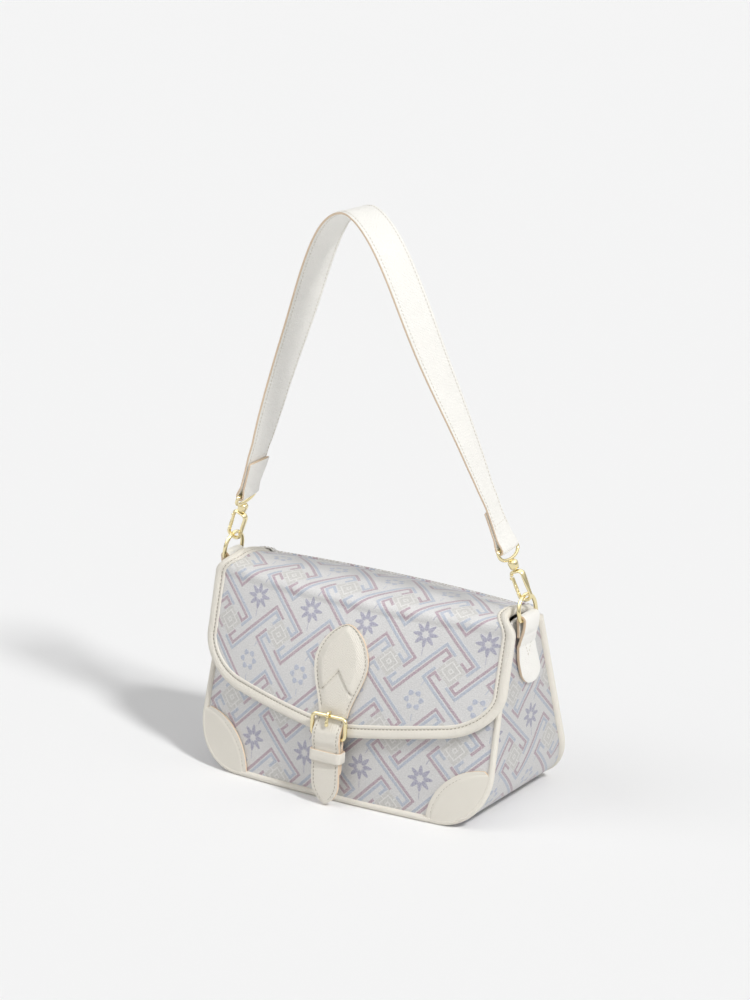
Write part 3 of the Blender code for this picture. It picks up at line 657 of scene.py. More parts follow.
# Shapes shared by several pieces
EDGE = edge_outline()
BINDING = np.array([
    (0.3, -1.6), (0.0, -0.2), (0.2, 0.9), (0.9, 1.75), (2.2, 2.3), (3.8, 2.3), (5.2, 1.85), (6.2, 1.1),
    (6.6, 0.65), (7.0, 0.65), (7.3, 1.0), (7.9, 1.3), (8.7, 1.2), (9.3, 0.8), (9.5, 0.2), (9.5, -3.2),
    (8.6, -3.7), (2.0, -3.9), (0.9, -3.2),
])


def binding_at(v, h, n_top=26, n_fold=16):
    """Flap edge strip: profile points (v inward, h outward) carried round the whole edge of the flap."""
    v, h = np.atleast_1d(v)[None], np.atleast_1d(h)[None]
    t = np.linspace(0, 1, n_top)[:, None]
    s = np.linspace(0, 1, n_fold)[1:-1, None]
    out = []
    for side in (-1.0, 1.0):
        over = top_line(side * (FLAP_HALF_TOP - v) + 0.0 * t, t, h)
        fold = fold_line(side * (flap_half(s) - v), s, h)
        out.append(np.concatenate([over, fold]))
    e = EDGE[:, :, None]
    low = face(e[:, 0] + e[:, 2] * v, e[:, 1] + e[:, 3] * v, FLAP_PROUD + h)
    return np.concatenate([out[0], low, out[1][::-1]])


def climb(p):
    """Length along a line of points from its start."""
    return np.concatenate([[0.0], np.cumsum(np.linalg.norm(np.diff(p, axis=0), axis=1))])


def points_at(at, run, p):
    """Points at the given lengths along a line of points p, whose own lengths are run."""
    return np.stack([np.interp(at, run, column) for column in p.T], -1)


def groove(at, centre, width):
    """Profile of a sewn channel: exp(-((at - centre) / width)^2)."""
    return np.exp(-(((at - centre) / width) ** 2))


def signed(c, power):
    """|c| to the power, with the sign of c: turns a circle into a rounded rectangle."""
    return np.sign(c) * np.abs(c) ** power


def lerp_smooth(at, xs, ys):
    """Table value with smooth steps between entries."""
    xs, ys = np.asarray(xs, float), np.asarray(ys, float)
    k = np.clip(np.searchsorted(xs, at) - 1, 0, len(xs) - 2)
    return ys[k] + (ys[k + 1] - ys[k]) * smooth((at - xs[k]) / (xs[k + 1] - xs[k]))


def move(matrix, p):
    """Points moved by a 4 by 4 matrix."""
    m = np.array(matrix)
    return np.asarray(p) @ m[:3, :3].T + m[:3, 3]


def body_front(x, z, out=0.0):
    """Front cloth: the face with shallow folds, products of long sine waves that fade at the seams."""
    soft = 0.5 * np.sin(x / 31.0 + 1.3) * np.sin(z / 19.0) + 0.35 * np.sin(x / 17.0 + z / 23.0)
    return face(x, z, out + soft * smooth((u_width(z, 2.0, PIPING) - np.abs(x)) / 25.0))


def cloth_map(along_u, along_v, u0, v0):
    """Cloth coordinates in repeats, with a large flower at u0, v0.

    The half steps put the flower in the middle of a cell, and of a row whose flowers are large.
    """
    across = bpy.context.scene.bag_cloth.repeat / MM
    up = across * REPEAT_SHARE
    return np.stack(np.broadcast_arrays((along_u - u0) / across + 0.5, (along_v - v0) / up + 2.5), -1)


def cloth(name, outer, inner, uv, body=None, bevel=0.0):
    """Piece of the woven cloth between two grids, with its cloth map."""
    obj = slab(name, outer, inner, [finish("brocade")], uv, body, bevel)
    return obj


def plate(name, outer, inner, look, body, bevel, node):
    """Leather plate between two grids, with raw edges, in place of a node."""
    obj = slab(name, outer, inner, [finish(look), finish("edge")], None, body, bevel)
    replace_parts(obj, node)


def cloth_panel(name, back, node):
    """Front or back cloth: the bowed face with soft folds, between its seams, from base to rim."""
    inset, bottom = (0.6, BACK_ROLL) if back else (0.4, PIPING)
    top = HEIGHT - 4.2 if back else HEIGHT - 1.0
    z = bottom + inset + (top - bottom - inset) * np.linspace(0, 1, 70) ** 1.35
    u = spread(91)
    x = u[None] * u_width(z, inset, bottom)[:, None]
    z = np.broadcast_to(z[:, None], x.shape)
    outer, inner = body_front(x, z), body_front(x, z, -2.2)
    run = climb(face(0.0, z[:, 0]))
    flower_x, flower_z = -76.7, 31.0
    uv = cloth_map(x, run[:, None], flower_x, np.interp(flower_z, z[:, 0], run))
    turn = [1, -1, 1] if back else [1, 1, 1]
    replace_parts(cloth(name, outer * turn, inner * turn, uv, "bag_body"), node)


def gusset_cloth():
    """Side and base cloth: the U path carried from the front seam to the back one.

    The sides swell by a parabola across, growing with the square of the height, and carry shallow
    sine creases. The rim is lifted by three smooth steps at the ring tabs.
    """
    line = u_path(1.0, PIPING, PIPING, HEIGHT)
    x, z = line[:, :1], line[:, 1:]
    n = normals(line)[1]
    v = np.linspace(0, 1, 41)[None]
    bow = -face(x, z)[..., 1]
    front, back = -(bow - PIPING * 0.4), bow - BACK_ROLL * 0.6
    y = front + (back - front) * v
    swell = 2.4 * (z / HEIGHT) ** 2 * 4 * v * (1 - v)
    crease = 0.5 * np.sin(z / 9.0 + 5.0 * v) * np.sin(np.pi * v) * smooth((z - 25.0) / 30.0)
    side = np.sign(x) * (np.abs(x) > 60.0)
    lift = 5.0 * smooth((y + 29.0) / 17.0) * smooth((13.0 - y) / 18.0) * smooth((z - 128.0) / 19.0)

    def at(inward):
        return xyz(x + side * (swell + crease) + n[:, :1] * inward, y, z + lift + n[:, 1:] * inward)

    flower_y, flower_run, thick = 6.0, 47.0, 1.4
    uv = cloth_map(y, climb(line)[:, None], flower_y, flower_run)
    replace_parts(cloth("gusset_cloth", at(0.0), at(thick), uv, "bag_body"), "gusset")


def lining_sack():
    """Open sack: rounded rings up the outside, over the rim and down the inside.

    A ring is a circle whose sine and cosine are raised to a small power, which squares its corners.
    """
    thick, power = 0.8, 0.4
    rows = np.concatenate([np.linspace(6.0, 30.0, 12), np.linspace(34.0, HEIGHT - 5.4, 22)])
    a = circle(120)[None]

    def ring(z, less):
        z = z[:, None]
        w = u_width(z, 3.6 + less, PIPING)
        x = w * signed(np.cos(a), power)
        bow = 0.9 * bulge(z) * (1 - (x / w) ** 2) * smooth((z - 8.0) / 20.0)
        d = depth(z) / 2 - 8.2 - less + 3.4 * smooth((z - 7.0) / 12.0) + bow
        return xyz(x, d * signed(np.sin(a), power), z + less)

    rings = np.concatenate([ring(rows, 0.0), ring(rows[::-1], thick)])
    obj = sweep("lining_sack", rings, [finish("lining")], body="bag_body")
    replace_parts(obj, "lining")


def piping(name, radius, back, node):
    """Edging: a round roll of the radius along the U of the seam, on the bowed face."""
    line = u_path(0.0, 0.0, radius, HEIGHT - (4.2 if back else 0.0))
    path = face(line[:, 0], line[:, 1]) * [1, -1 if back else 1, 1]
    obj = rod(name, path, radius, [finish("cream")], body="bag_body", sides=24)
    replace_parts(obj, node)


def patch(side, tail):
    """Corner patch: ruled between a circular arc and the rounded corner, with a raw inner edge."""
    middle, radius, seam = np.array([122.0, 1.5]), 42.5, 3.4
    a = np.radians(91.0 + 85.0 * np.linspace(0, 1, 61)[:, None])
    v = np.linspace(0, 1, 25)[None]
    turn = np.stack([np.cos(a), np.sin(a)], -1)
    inner = middle + radius * turn
    b = np.radians(90.0 * np.linspace(0, 1, 61)[:, None])
    low = PIPING + 0.6
    r = CORNER - 0.6
    tip = half_width(low) - CORNER
    outer = np.stack([tip + r * np.cos(b), PIPING + CORNER - r * np.sin(b)], -1)
    p = inner + (outer - inner) * v[..., None]
    z = np.maximum(p[..., 1], low)
    x = np.minimum(p[..., 0], u_width(z, 0.6, PIPING))
    edge = np.linalg.norm(p - inner, axis=-1)
    soft = 1.5 + 0.5 * smooth(edge / 5.0) - 0.45 * groove(edge, seam, 0.9)
    flip = np.array([side, 1.0, 1.0])
    top, under = face(x, z, 0.3 + soft) * flip, face(x, z, 0.35) * flip
    name = "corner_patch_" + tail
    # The patch takes the darker copy of the leather colour: painted shade
    plate(name, top, under, "cream_smooth", "bag_body", 0.3, "front_corner_patch_" + tail)
    q = middle + (radius - seam) * turn[:, 0]
    q = q[(q[:, 1] > low + 2.5) & (q[:, 0] < u_width(q[:, 1], 3.2, PIPING))]
    sew(name + "_thread", [face(q[:, 0], q[:, 1], 1.62) * flip], "bag_body")


def flap_cloth():
    """One cloth from the back seam over the top, round the fold and down to the lower edge.

    The rows are the proud face with a shallow sine ripple, then the fold's cubic, then the top's.
    """
    inset = 4.0
    u = spread(111)[None]
    x = u * (FLAP_HALF - inset)
    low = lower_edge(u * FLAP_HALF) + 3.5
    n_front = 60
    z = low + (FOLD_LOW - low) * np.linspace(0, 1, n_front)[:, None]
    t = np.linspace(1, 0, 19)[1:, None]
    s = np.linspace(1, 0, 31)[1:, None]

    def at(out):
        ripple = 0.35 * np.sin(x / 29.0 + 0.7) * np.sin(z / 17.0) * smooth((FOLD_LOW - z) / 20.0)
        front = face(x, z, FLAP_PROUD + out + ripple)
        fold = fold_line(u * (flap_half(t) - inset), t, out)
        over = top_line(u * (FLAP_HALF_TOP - inset) + 0.0 * s, s, out)
        return np.concatenate([front, fold, over])

    outer, inner = at(0.0), at(-3.0)
    mid = outer[:, outer.shape[1] // 2]
    level = np.linspace(40.0, FOLD_LOW, 80)
    run = climb(face(0.0, level, FLAP_PROUD))
    high = run[-1] + climb(mid[n_front - 1:])[1:]
    runs = np.concatenate([np.interp(z, level, run), high[:, None] + 0.0 * x])
    uv = cloth_map(outer[..., 0], runs, FLOWER_X, np.interp(135.0, level, run))
    obj = cloth("flap_cloth", outer, inner, uv)
    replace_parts(obj, "flap_top_panel", "flap_front_panel")
    bend(obj)


def seam_strip():
    """Cloth strip over the back seam: up the back, a cubic over the rim, and onto the flap; sewn."""
    half, low, high, thick = 120.8, 135.5, 143.5, 1.1
    x = np.linspace(-1, 1, 81)[None] * half
    z = np.linspace(low, high, 12)[:, None]
    proud = 0.9 + 1.9 * smooth((np.abs(x) - 108.0) / 4.0)
    up = face(x, z, 1.3) * [1, -1, 1]
    t = np.linspace(0.05, 0.17, 8)[:, None]
    top = top_line(x, t, proud)
    s = np.linspace(0, 1, 12)[1:-1, None, None]
    over = bezier((up[-1:], up[-1:] + [0, -0.6, 4.5], top[:1] + [0, 3.2, -0.6], top[:1]), s)
    outer = np.concatenate([up, over, top])
    middle = outer.shape[1] // 2
    n = np.cross(np.gradient(outer, axis=1), np.gradient(outer, axis=0))
    n /= np.linalg.norm(n, axis=2)[..., None]
    n *= np.sign(n[0, middle, 1])
    uv = cloth_map(x, climb(outer[:, middle])[:, None], FLOWER_X, 0.0)
    obj = cloth("seam_strip", outer, outer - thick * n, uv, bevel=0.3)
    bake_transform(obj)
    for name, row, body in (("thread", 2, "bag_body"), ("top_thread", -3, "flap_top")):
        sew("seam_strip_" + name, [(outer[row] + 0.1 * n[row])[1:-1]], body)


def bend(obj):
    """Bake the piece's placement into its mesh."""
    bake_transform(obj)


def flap_binding():
    """Flap edging: the profile round the whole edge, its roll gathered by three short sine waves."""
    rings = binding_at(BINDING[:, 0], BINDING[:, 1])
    run = climb(rings[:, 5])
    gather = 0.16 * np.sin(run * 1.9) * np.sin(run * 0.53 + 1.0) + 0.1 * np.sin(run * 3.1)
    rings[:, 2:7, 2] += gather[:, None] * 0.5
    rings[:, 2:7, 1] -= gather[:, None] * 0.8
    obj = sweep("flap_edging", rings, [finish("cream")])
    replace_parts(obj, "flap_front_binding", "flap_top_edge_left", "flap_top_edge_right")
    bend(obj)
    bend(sew("flap_edging_thread", [binding_at(6.8, 0.8)[:, 0]], None))


def leaf_outline(n=60):
    """Half outline of the leaf: two cubics that meet at its widest point."""
    t = np.linspace(0, 1, n)
    w = [bezier((12.3, 14.0, 23.0, 23.0), t), bezier((23.0, 22.6, 10.5, 0.4), t)[1:]]
    z = [bezier((67.5, 80.0, 93.0, 105.0), t), bezier((105.0, 118.0, 131.0, 131.7), t)[1:]]
    return np.concatenate(w), np.concatenate(z)


def dip(x, z, ax, az, bx, bz):
    """Distance from points to a segment."""
    dx, dz = bx - ax, bz - az
    k = np.clip(((x - ax) * dx + (z - az) * dz) / (dx * dx + dz * dz), 0, 1)
    return np.hypot(x - ax - k * dx, z - az - k * dz)


def leaf():
    """Leaf patch: a plate crowned by smooth steps, with sewn channels at its edge and in a chevron."""
    w, z = leaf_outline()
    u = np.linspace(-1, 1, 49)[None]
    x, z = np.broadcast_arrays(u * w[:, None], z[:, None])
    edge = (1 - np.abs(u)) * w[:, None]
    tip, foot_x, foot_z = 100.0, 13.0, 84.0
    chevron = np.minimum(dip(x, z, 0, tip, foot_x, foot_z), dip(x, z, 0, tip, -foot_x, foot_z))
    above = smooth((z - tip + 1.25 * np.abs(x)) / 4.0 + 0.5)
    puff = (1.0 + 1.4 * above) * smooth((edge - 2.2) / 7.0) - 0.6 * groove(edge, 2.3, 0.8)
    puff = (puff - 1.3 * groove(chevron, 0.0, 1.0)) * smooth((z - 66.0) / 9.0)
    base = FLAP_PROUD + 0.3
    outer, inner = face(x, z, base + 1.6 + puff), face(x, z, base)
    plate("leaf_tab", outer, inner, "cream", "flap_front", 0.35, "leaf_patch")
    w, z = leaf_outline(40)
    keep = (w > 3.0) & (z > 73.0)
    out = base + 1.2
    sides = [face(s * np.maximum(w - 2.3, 0.0)[keep], z[keep], out) for s in (-1.0, 1.0)]
    s = np.linspace(0, 1, 12)
    arms = [face(k * foot_x * s, tip - (tip - foot_z) * s, out + 0.75) for k in (-1.0, 1.0)]
    sew("leaf_thread", sides + arms, "flap_front")


def tongue(z, half, low, length):
    """Half width of a strap tip: half times (1 - a^2)^0.7, a the share of the way down the tip."""
    a = np.clip((low + length - z) / length, 0.0, 1.0)
    return half * np.maximum(1 - a * a, 0.0) ** 0.7 + 0.02


def strap_end(name, half, low, high, length, out, thick, node, thread):
    """Flat strap with a rounded tip, following the table of out against height."""
    z = low + (high - low) * np.linspace(0, 1, 90) ** 1.6
    u = np.linspace(-1, 1, 25)[None]
    w = tongue(z, half, low, length)[:, None]
    x, z = np.broadcast_arrays(u * w, z[:, None])
    edge = (1 - np.abs(u)) * w
    soft = 0.35 * smooth(edge / 4.0) - 0.3 * groove(edge, 2.1, 0.7)
    line = lerp_smooth(z, *out)
    plate(name, face(x, z, line + soft), face(x, z, line - thick), "cream", "flap_front", 0.3, node)
    if thread:
        z = np.linspace(low + 2.4, high - 1.0, 60)
        w = tongue(z, half - 2.1, low + 2.2, length)
        o = lerp_smooth(z, *out) + 0.1
        sew(name + "_thread", [face(s * w, z, o) for s in (-1.0, 1.0)], "flap_front")


BILLET = ([1.5, 12.0, 30.0, 44.0, 51.0, 56.0, 66.2], [12.8, 13.1, 13.5, 14.0, 15.8, 15.8, 10.6])


def keeper():
    """Keeper loop: a band profile carried round a rounded rectangle in plan."""
    a = circle(80)[:, None]
    c, s = np.cos(a), np.sin(a)
    low, high, half, power = FLAP_PROUD + 0.5, 14.8, 12.4, 0.25
    x = half * signed(c, power)
    out = (low + high) / 2 - (high - low) / 2 * signed(s, power)
    h = np.array([0.0, 0.0, 0.0, 0.4, 1.1, 1.35, 1.35, 1.1, 0.4])[None]
    z = np.array([34.9, 39.0, 42.7, 43.0, 42.8, 42.2, 35.4, 34.8, 34.6])[None]
    nx, no = signed(c, 1.5), -signed(s, 1.5)
    run = np.hypot(nx, no)
    rings = face(x + nx / run * h, z + 0 * x, out + no / run * h)
    rim = [0, 0, 1, 1, 0, 0, 0, 1, 1]
    obj = sweep("keeper_band", rings, [finish("cream"), finish("edge")], rim, True, "flap_front")
    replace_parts(obj, "keeper_loop")


def arc(x, z, rx, rz, start, stop, n):
    """Points (x, z) of an ellipse from the start angle to the stop angle, in degrees."""
    a = np.radians(np.linspace(start, stop, n))
    return np.stack([x + rx * np.cos(a), z + rz * np.sin(a)], -1)


def rounded(half, low, high, r, n=8):
    """Closed rounded rectangle of two coordinates: four quarter circles, from the top right one."""
    x, top, bottom = half - r, high - r, low + r
    corners = ((x, top, 0), (-x, top, 90), (-x, bottom, 180), (x, bottom, 270))
    return np.concatenate([arc(cx, cz, r, r, start, start + 90, n) for cx, cz, start in corners])


def buckle():
    """Buckle: a wire round a rounded rectangle on the strap, and a prong hooked on its top bar."""
    metal = [finish("gold")]
    wire = bpy.context.scene.bag_metal.buckle_wire / MM
    low, high, out = 52.5, 68.5, 11.5
    p = rounded(14.5, low, high, 3.5)
    path = xyz(p[:, 0], face(0.0, p[:, 1], out + 1.5 * (p[:, 1] - low) / (high - low))[:, 1], p[:, 1])
    ring = rod("buckle_ring", path, wire, metal, ref=(0, 1, 0.4), closed=True, body="flap_front")
    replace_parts(ring, "buckle_frame")
    top = face(0.0, high, out + 1.5)
    r = wire + 1.3
    loop = arc(top[1], top[2], -r, r, -10, 118, 24)
    lead = face(0.0, np.array([61.6, 62.0, 62.8, 64.5]), np.array([15.5, 15.7, 15.9, 16.0]))
    path = np.concatenate([lead, xyz(0.0, loop[:, 0], loop[:, 1])])
    thick = np.concatenate([[0.5, 1.25, 1.45, 1.2], np.full(len(loop), 1.15)])
    pin = rod("buckle_pin", path, thick, metal, ref=(1, 0, 0), body="prong")
    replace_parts(pin, "buckle_prong")


def tab_path():
    """Line of the ring tab in x and z: inner layer up, round the bar, and down outside."""
    side, gap, half = 126.55, 0.35, 1.1
    inner = side + gap + half
    outer, roll = inner + 2.55, 2.95
    up = np.array([(inner, 138.0), (inner, 141.0), (inner - 0.1, 144.0), (inner - 0.3, 147.5)])
    turn = arc(RING_X, RING_Z, roll, roll, 180, 0, 24)
    ends = ((RING_X + roll, 151.0), (RING_X + 2.6, 143.0), (outer, 140.0), (inner + 0.9, 133.0))
    curve = bezier(np.array(ends), np.linspace(0, 1, 14)[1:, None])
    down = np.stack([np.full(40, inner), np.linspace(131.0, 98.5, 40)], -1)
    return np.concatenate([up, turn, curve, down])


def ring_tab(side, tail):
    """Leather tab: a ribbon along the tab line, narrow at the roll, widest below, with a round tip."""
    line = tab_path()
    z, n = line[:, 1:], normals(line)[1]
    tip, tip_long, narrow, wider, crease, half_thick = 110.0, 11.6, 19.2, 6.6, 140.5, 1.1
    a = np.clip((tip - z) / tip_long, 0, 1)
    w = (narrow + wider * smooth((146.0 - z) / 34.0)) * np.sqrt(np.maximum(1 - a * a, 0.0)) + 0.05
    u = np.linspace(-1, 1, 21)[None]
    y = RING_Y * smooth((z - 95.0) / 50.0) + 3.5 * smooth((124.0 - z) / 26.0) + u * w / 2
    edge = (1 - np.abs(u)) * w / 2
    outside = (np.arange(len(z)) > 18)[:, None] * smooth(edge / 3.0)
    crown = 0.5 * smooth(edge / 5.0) - 0.55 * outside * groove(z, crease, 1.3)
    flip = np.array([side, 1.0, 1.0])

    def at(h):
        return xyz(line[:, :1] + n[:, :1] * h, y, z + n[:, 1:] * h) * flip

    outer, inner = at(half_thick + crown * (a < 1)), at(-half_thick + 0.0 * u)
    # The tab takes the lighter copy of the leather colour: painted light
    plate("ring_loop_" + tail, outer, inner, "cream_light", "bag_body", 0.35, "ring_tab_" + tail)
    s = np.linspace(0, 1, 14)
    rise = 122.0 + 10.0 * s
    x = np.interp(rise, z[-45:, 0][::-1], line[-45:, 0][::-1]) + 1.7
    arms = [xyz(x, -4.4 + k * 4.0 * s, rise) * flip for k in (-1.0, 1.0)]
    sew("ring_loop_thread_" + tail, arms, "bag_body", "pale")


def hook_frame(side):
    """Hook axes: p across to +X, Y, and q up the hook; origin in the crown of the ring."""
    m = Matrix.Identity(4)
    m.col[0] = (math.cos(HOOK_LEAN), 0.0, side * math.sin(HOOK_LEAN), 0.0)
    m.col[2] = (-side * math.sin(HOOK_LEAN), 0.0, math.cos(HOOK_LEAN), 0.0)
    m.translation = Vector((side * CROWN[0], RING_Y, CROWN[1]))
    return LEAN @ m


def lathe(name, profile, m, body, node, sides=32):
    """Profile of (radius, height) turned about the hook's axis; both ends close on the axis."""
    p = np.asarray(profile, float)
    a = circle(sides)[None]
    r = np.maximum(p[:, :1], 0.01)
    rings = move(m, xyz(r * np.cos(a), r * np.sin(a), p[:, 1:]))
    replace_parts(sweep(name, rings, [finish("gold")], body=body), node)


def bar(name, path, radius, body, node, ref, **more):
    """Gold bar along a path, in place of a node."""
    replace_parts(rod(name, path, radius, [finish("gold")], ref=ref, body=body, **more), node)


def d_ring(side, tail):
    """Ring: a wire round a half circle and two rounded corners, leaning out with its tab."""
    low = 2.0
    p = np.concatenate([
        arc(0.0, RING_ARC, RING_R, RING_R, 0, 180, 49),
        arc(low - RING_R, low, low, low, 180, 270, 9), arc(RING_R - low, low, low, low, 270, 360, 9),
    ])
    x = side * (RING_X - p[:, 1] * math.sin(RING_LEAN))
    path = xyz(x, RING_Y + p[:, 0], RING_Z + p[:, 1] * math.cos(RING_LEAN))
    out = (math.cos(RING_LEAN), 0, side * math.sin(RING_LEAN))
    wire = bpy.context.scene.bag_metal.ring_wire / MM
    bar("ring_" + tail, path, wire, "ring_" + tail, "d_ring_" + tail, out, closed=True)


def hook(m, tail):
    """Spring hook: an open loop whose back broadens by a smooth step, and its ribbed lever."""
    across = np.array(m.to_3x3() @ Vector((0, 1, 0)))
    lever_x, lever_low, lever_high = -5.0, 3.3, 14.5
    q = np.concatenate([
        [(lever_x, 3.0), (lever_x, 1.6)], arc(0.0, 0.1, 5.0, 3.9, 180, 360, 25),
        [(5.05, 4.0), (5.1, 8.0), (5.2, 12.0)], arc(2.0, 15.4, 3.2, 3.1, 0, 90, 9),
        arc(-2.2, 15.6, 3.0, 2.9, 90, 180, 9),
    ])
    broad = 1.0 + 1.0 * smooth((q[:, 1] - 1.0) / 9.0) * (q[:, 0] > -4.0)
    thick = bpy.context.scene.bag_metal.hook_wire / MM * (0.92 - 0.04 * smooth(q[:, 1] / 6.0))
    path = move(m, xyz(q[:, 0], 0.0, q[:, 1]))
    bar("hook_loop_" + tail, path, thick, "hook_" + tail, "hook_body_" + tail, across, flat=broad)
    h = np.linspace(lever_low, lever_high, 57)
    ribs = 1.15 + 0.22 * np.sin(h * 5.6) ** 2 * smooth((h - 3.6) / 0.6) * smooth((9.2 - h) / 0.6)
    path = move(m, xyz(lever_x, 0.0, h))
    bar("hook_lever_" + tail, path, ribs, "gate_" + tail, "hook_gate_" + tail, across, flat=1.25)


def swivel(m, tail):
    """Rivet of the lever, pin and cup of the swivel, all turned, and the bail that holds the strap."""
    pivot = m @ Matrix.Translation((-5.0, -1.55, 14.4)) @ Matrix.Rotation(math.radians(90), 4, "X")
    rivet = [(0, 0), (1.2, 0), (1.2, 0.5), (0.8, 0.85), (0, 0.95)]
    pin = [(0, 19.6), (1.7, 19.6), (1.5, 20.4), (1.5, 23.1), (2.6, 23.1), (2.6, 25.2), (0, 25.3)]
    cup = [
        (0, 28.0), (1.8, 27.8), (3.0, 27.2), (3.7, 26.2), (3.9, 25.0), (3.7, 23.6), (3.5, 22.2),
        (3.1, 20.8), (1.95, 20.8), (1.95, 22.7), (2.9, 22.9), (2.9, 25.5), (0, 25.6),
    ]
    lathe("lever_rivet_" + tail, rivet, pivot, "hook_" + tail, "gate_rivet_" + tail)
    lathe("swivel_pin_" + tail, pin, m, "hook_" + tail, "hook_stem_" + tail)
    lathe("swivel_cup_" + tail, cup, m, "handle", "hook_collar_" + tail)
    half = 12.6
    p = np.concatenate([rounded(half, 30.0, BAIL, 1.6)[:16], arc(0.0, 34.6, half, 5.9, 180, 360, 41)])
    out = np.array(m.to_3x3() @ Vector((1, 0, 0)))
    path = move(m, xyz(0.0, p[:, 0], p[:, 1]))
    bar("bail_" + tail, path, BAIL_WIRE, "handle", "hook_bail_" + tail, out, closed=True)


# Strap
def arm_line():
    """Centre line from the right bail to the left one, smoothed from a table of heights."""
    z = [
        CROWN[1] + BAIL * math.cos(HOOK_LEAN), 230.0, 248.0, 267.0, 286.0, 305.0, 324.0, 343.0, 361.0,
        382.0, 404.0, 422.5, 437.0, 446.0,
    ]
    x = [
        CROWN[0] - BAIL * math.sin(HOOK_LEAN), 103.0, 99.0, 93.5, 88.5, 83.0, 77.0, 70.5, 64.5,
        57.0, 47.0, 35.0, 20.0, 0.0,
    ]
    p = np.stack([x + [-k for k in x[-2::-1]], z + z[-2::-1]], -1)
    run = climb(p)
    line = points_at(np.linspace(0, run[-1], 241), run, p)
    for _ in range(26):
        line[1:-1] = (line[:-2] + 2 * line[1:-1] + line[2:]) / 4
    return line


def strap_rows():
    """Ribbon rows (x, z, length from the bail), from one end to the other.

    From the end of the fold-back down its back to the bail, half round it, and up the front; the
    ribbon's offset from the centre line falls by smooth steps as it leaves the bail and the lap.
    """
    line = arm_line()
    run = climb(line)
    d, n = normals(line)
    n = -n
    t = bpy.context.scene.bag_strap.thick / MM
    roll = BAIL_WIRE + 0.2 + t / 2
    lap = t / 2 + 0.12

    def at(s, way):
        off = lap + (roll - lap) * smooth(1 - s / 9.0)
        off = off * np.where(s > 31.0, smooth((50.0 - s) / 18.0), 1.0) if way > 0 else off
        p = points_at(s, run, line) + way * points_at(s, run, n) * off[:, None]
        return np.concatenate([p, s[:, None]], 1)

    back = at(np.linspace(30.0, 1.0, 24), -1.0)
    a = np.radians(np.linspace(180, 360, 25))[:, None]
    wrap = line[0] + roll * (np.cos(a) * n[0] + np.sin(a) * d[0])
    out = at(np.concatenate([np.linspace(1.0, 54.0, 40), np.linspace(56.0, run[-1] / 2, 90)]), 1.0)
    half = np.concatenate([back, np.concatenate([wrap, 0 * a], 1), out])
    return np.concatenate([half, (half[:-1] * [-1, 1, 1])[::-1]])


def strap_points(rows, u, h):
    """Strap surface: u across the width, h along the ribbon's normal, turned about Z as it rises."""
    s = bpy.context.scene.bag_strap
    x, z, run = rows.T[:, :, None]
    n = normals(rows[:, :2])[1]
    lag = -np.tan(np.radians(24.0) * smooth((z - 215.0) / 225.0)) * x
    end, full = s.end / MM, s.wide / MM
    wide = end + (full - end) * smooth((run - 20.0) / 55.0)
    start = np.copysign(8.0, -x) * smooth(run / 30.0)
    turn = np.radians(start + (26.0 - start) * smooth((z - 240.0) / 150.0))
    px = x + n[:, :1] * h + u * wide / 2 * np.sin(turn)
    return move(LEAN, xyz(px, RING_Y + lag + u * wide / 2 * np.cos(turn), z + n[:, 1:] * h))


def strap():
    """Shoulder strap: a ribbon crowned across its width, round both bails and folded back."""
    rows = strap_rows()
    s = bpy.context.scene.bag_strap
    t, half = s.thick / MM / 2, s.wide / MM / 2
    u = np.linspace(-1, 1, 23)[None]
    edge = (1 - np.abs(u)) * half
    crown = t - 0.25 + 0.3 * smooth(edge / 4.0) - 0.2 * groove(edge, 2.2, 0.7)
    outer, inner = strap_points(rows, u, crown), strap_points(rows, u, -crown)
    # The strap takes the lighter copy of the leather colour: painted light
    plate("strap_ribbon", outer, inner, "cream_light", "handle", 0.35, "shoulder_strap")
    lap, seam, bare = 8, 60, 0.83
    lines = [
        strap_points(rows, np.array([[k]]), h * 0.97)[seam:-seam, 0] for k in (-bare, bare) for h in (-t, t)
    ]
    for row, h in ((lap, t), (seam + 2, -t)):
        points = strap_points(rows, np.linspace(-0.8, 0.8, 12)[None], h * 1.02)
        lines += [points[row], points[-1 - row]]
    sew("strap_thread", lines, "handle", "pale")


# Operators: one for each piece or group of like pieces
class BAG_OT_panels(bpy.types.Operator):
    """Front and back cloth of the body: the bowed face with shallow folds"""

    bl_idname = "bag.panels"
    bl_label = "Front and back cloth"

    def execute(self, context):
        cloth_panel("front_cloth", False, "front_panel")
        cloth_panel("back_cloth", True, "back_panel")
        return {"FINISHED"}


class BAG_OT_gusset(bpy.types.Operator):
    """Side and base cloth along the U outline, swelling towards the top"""

    bl_idname = "bag.gusset"
    bl_label = "Gusset"

    def execute(self, context):
        gusset_cloth()
        return {"FINISHED"}


class BAG_OT_lining(bpy.types.Operator):
    """Open lining sack: superellipse rings outside and inside"""

    bl_idname = "bag.lining"
    bl_label = "Lining"

    def execute(self, context):
        lining_sack()
        return {"FINISHED"}


class BAG_OT_edging(bpy.types.Operator):
    """Leather rolls along the front and back seams of the body"""

    bl_idname = "bag.edging"
    bl_label = "Body edging"

    def execute(self, context):
        piping("front_roll", PIPING, False, "front_piping")
        piping("back_roll", BACK_ROLL, True, "back_piping")
        return {"FINISHED"}


class BAG_OT_patches(bpy.types.Operator):
    """Leather corner patches, ruled between an arc and the rounded corner"""

    bl_idname = "bag.patches"
    bl_label = "Corner patches"

    def execute(self, context):
        for side, tail in SIDES:
            patch(side, tail)
        return {"FINISHED"}


class BAG_OT_flap(bpy.types.Operator):
    """Flap cloth in one piece from the back seam over the top to the lower edge"""

    bl_idname = "bag.flap"
    bl_label = "Flap cloth"

    def execute(self, context):
        flap_cloth()
        return {"FINISHED"}


class BAG_OT_seam(bpy.types.Operator):
    """Cloth strip over the back seam, where the flap is sewn on"""

    bl_idname = "bag.seam"
    bl_label = "Back seam"

    def execute(self, context):
        seam_strip()
        return {"FINISHED"}


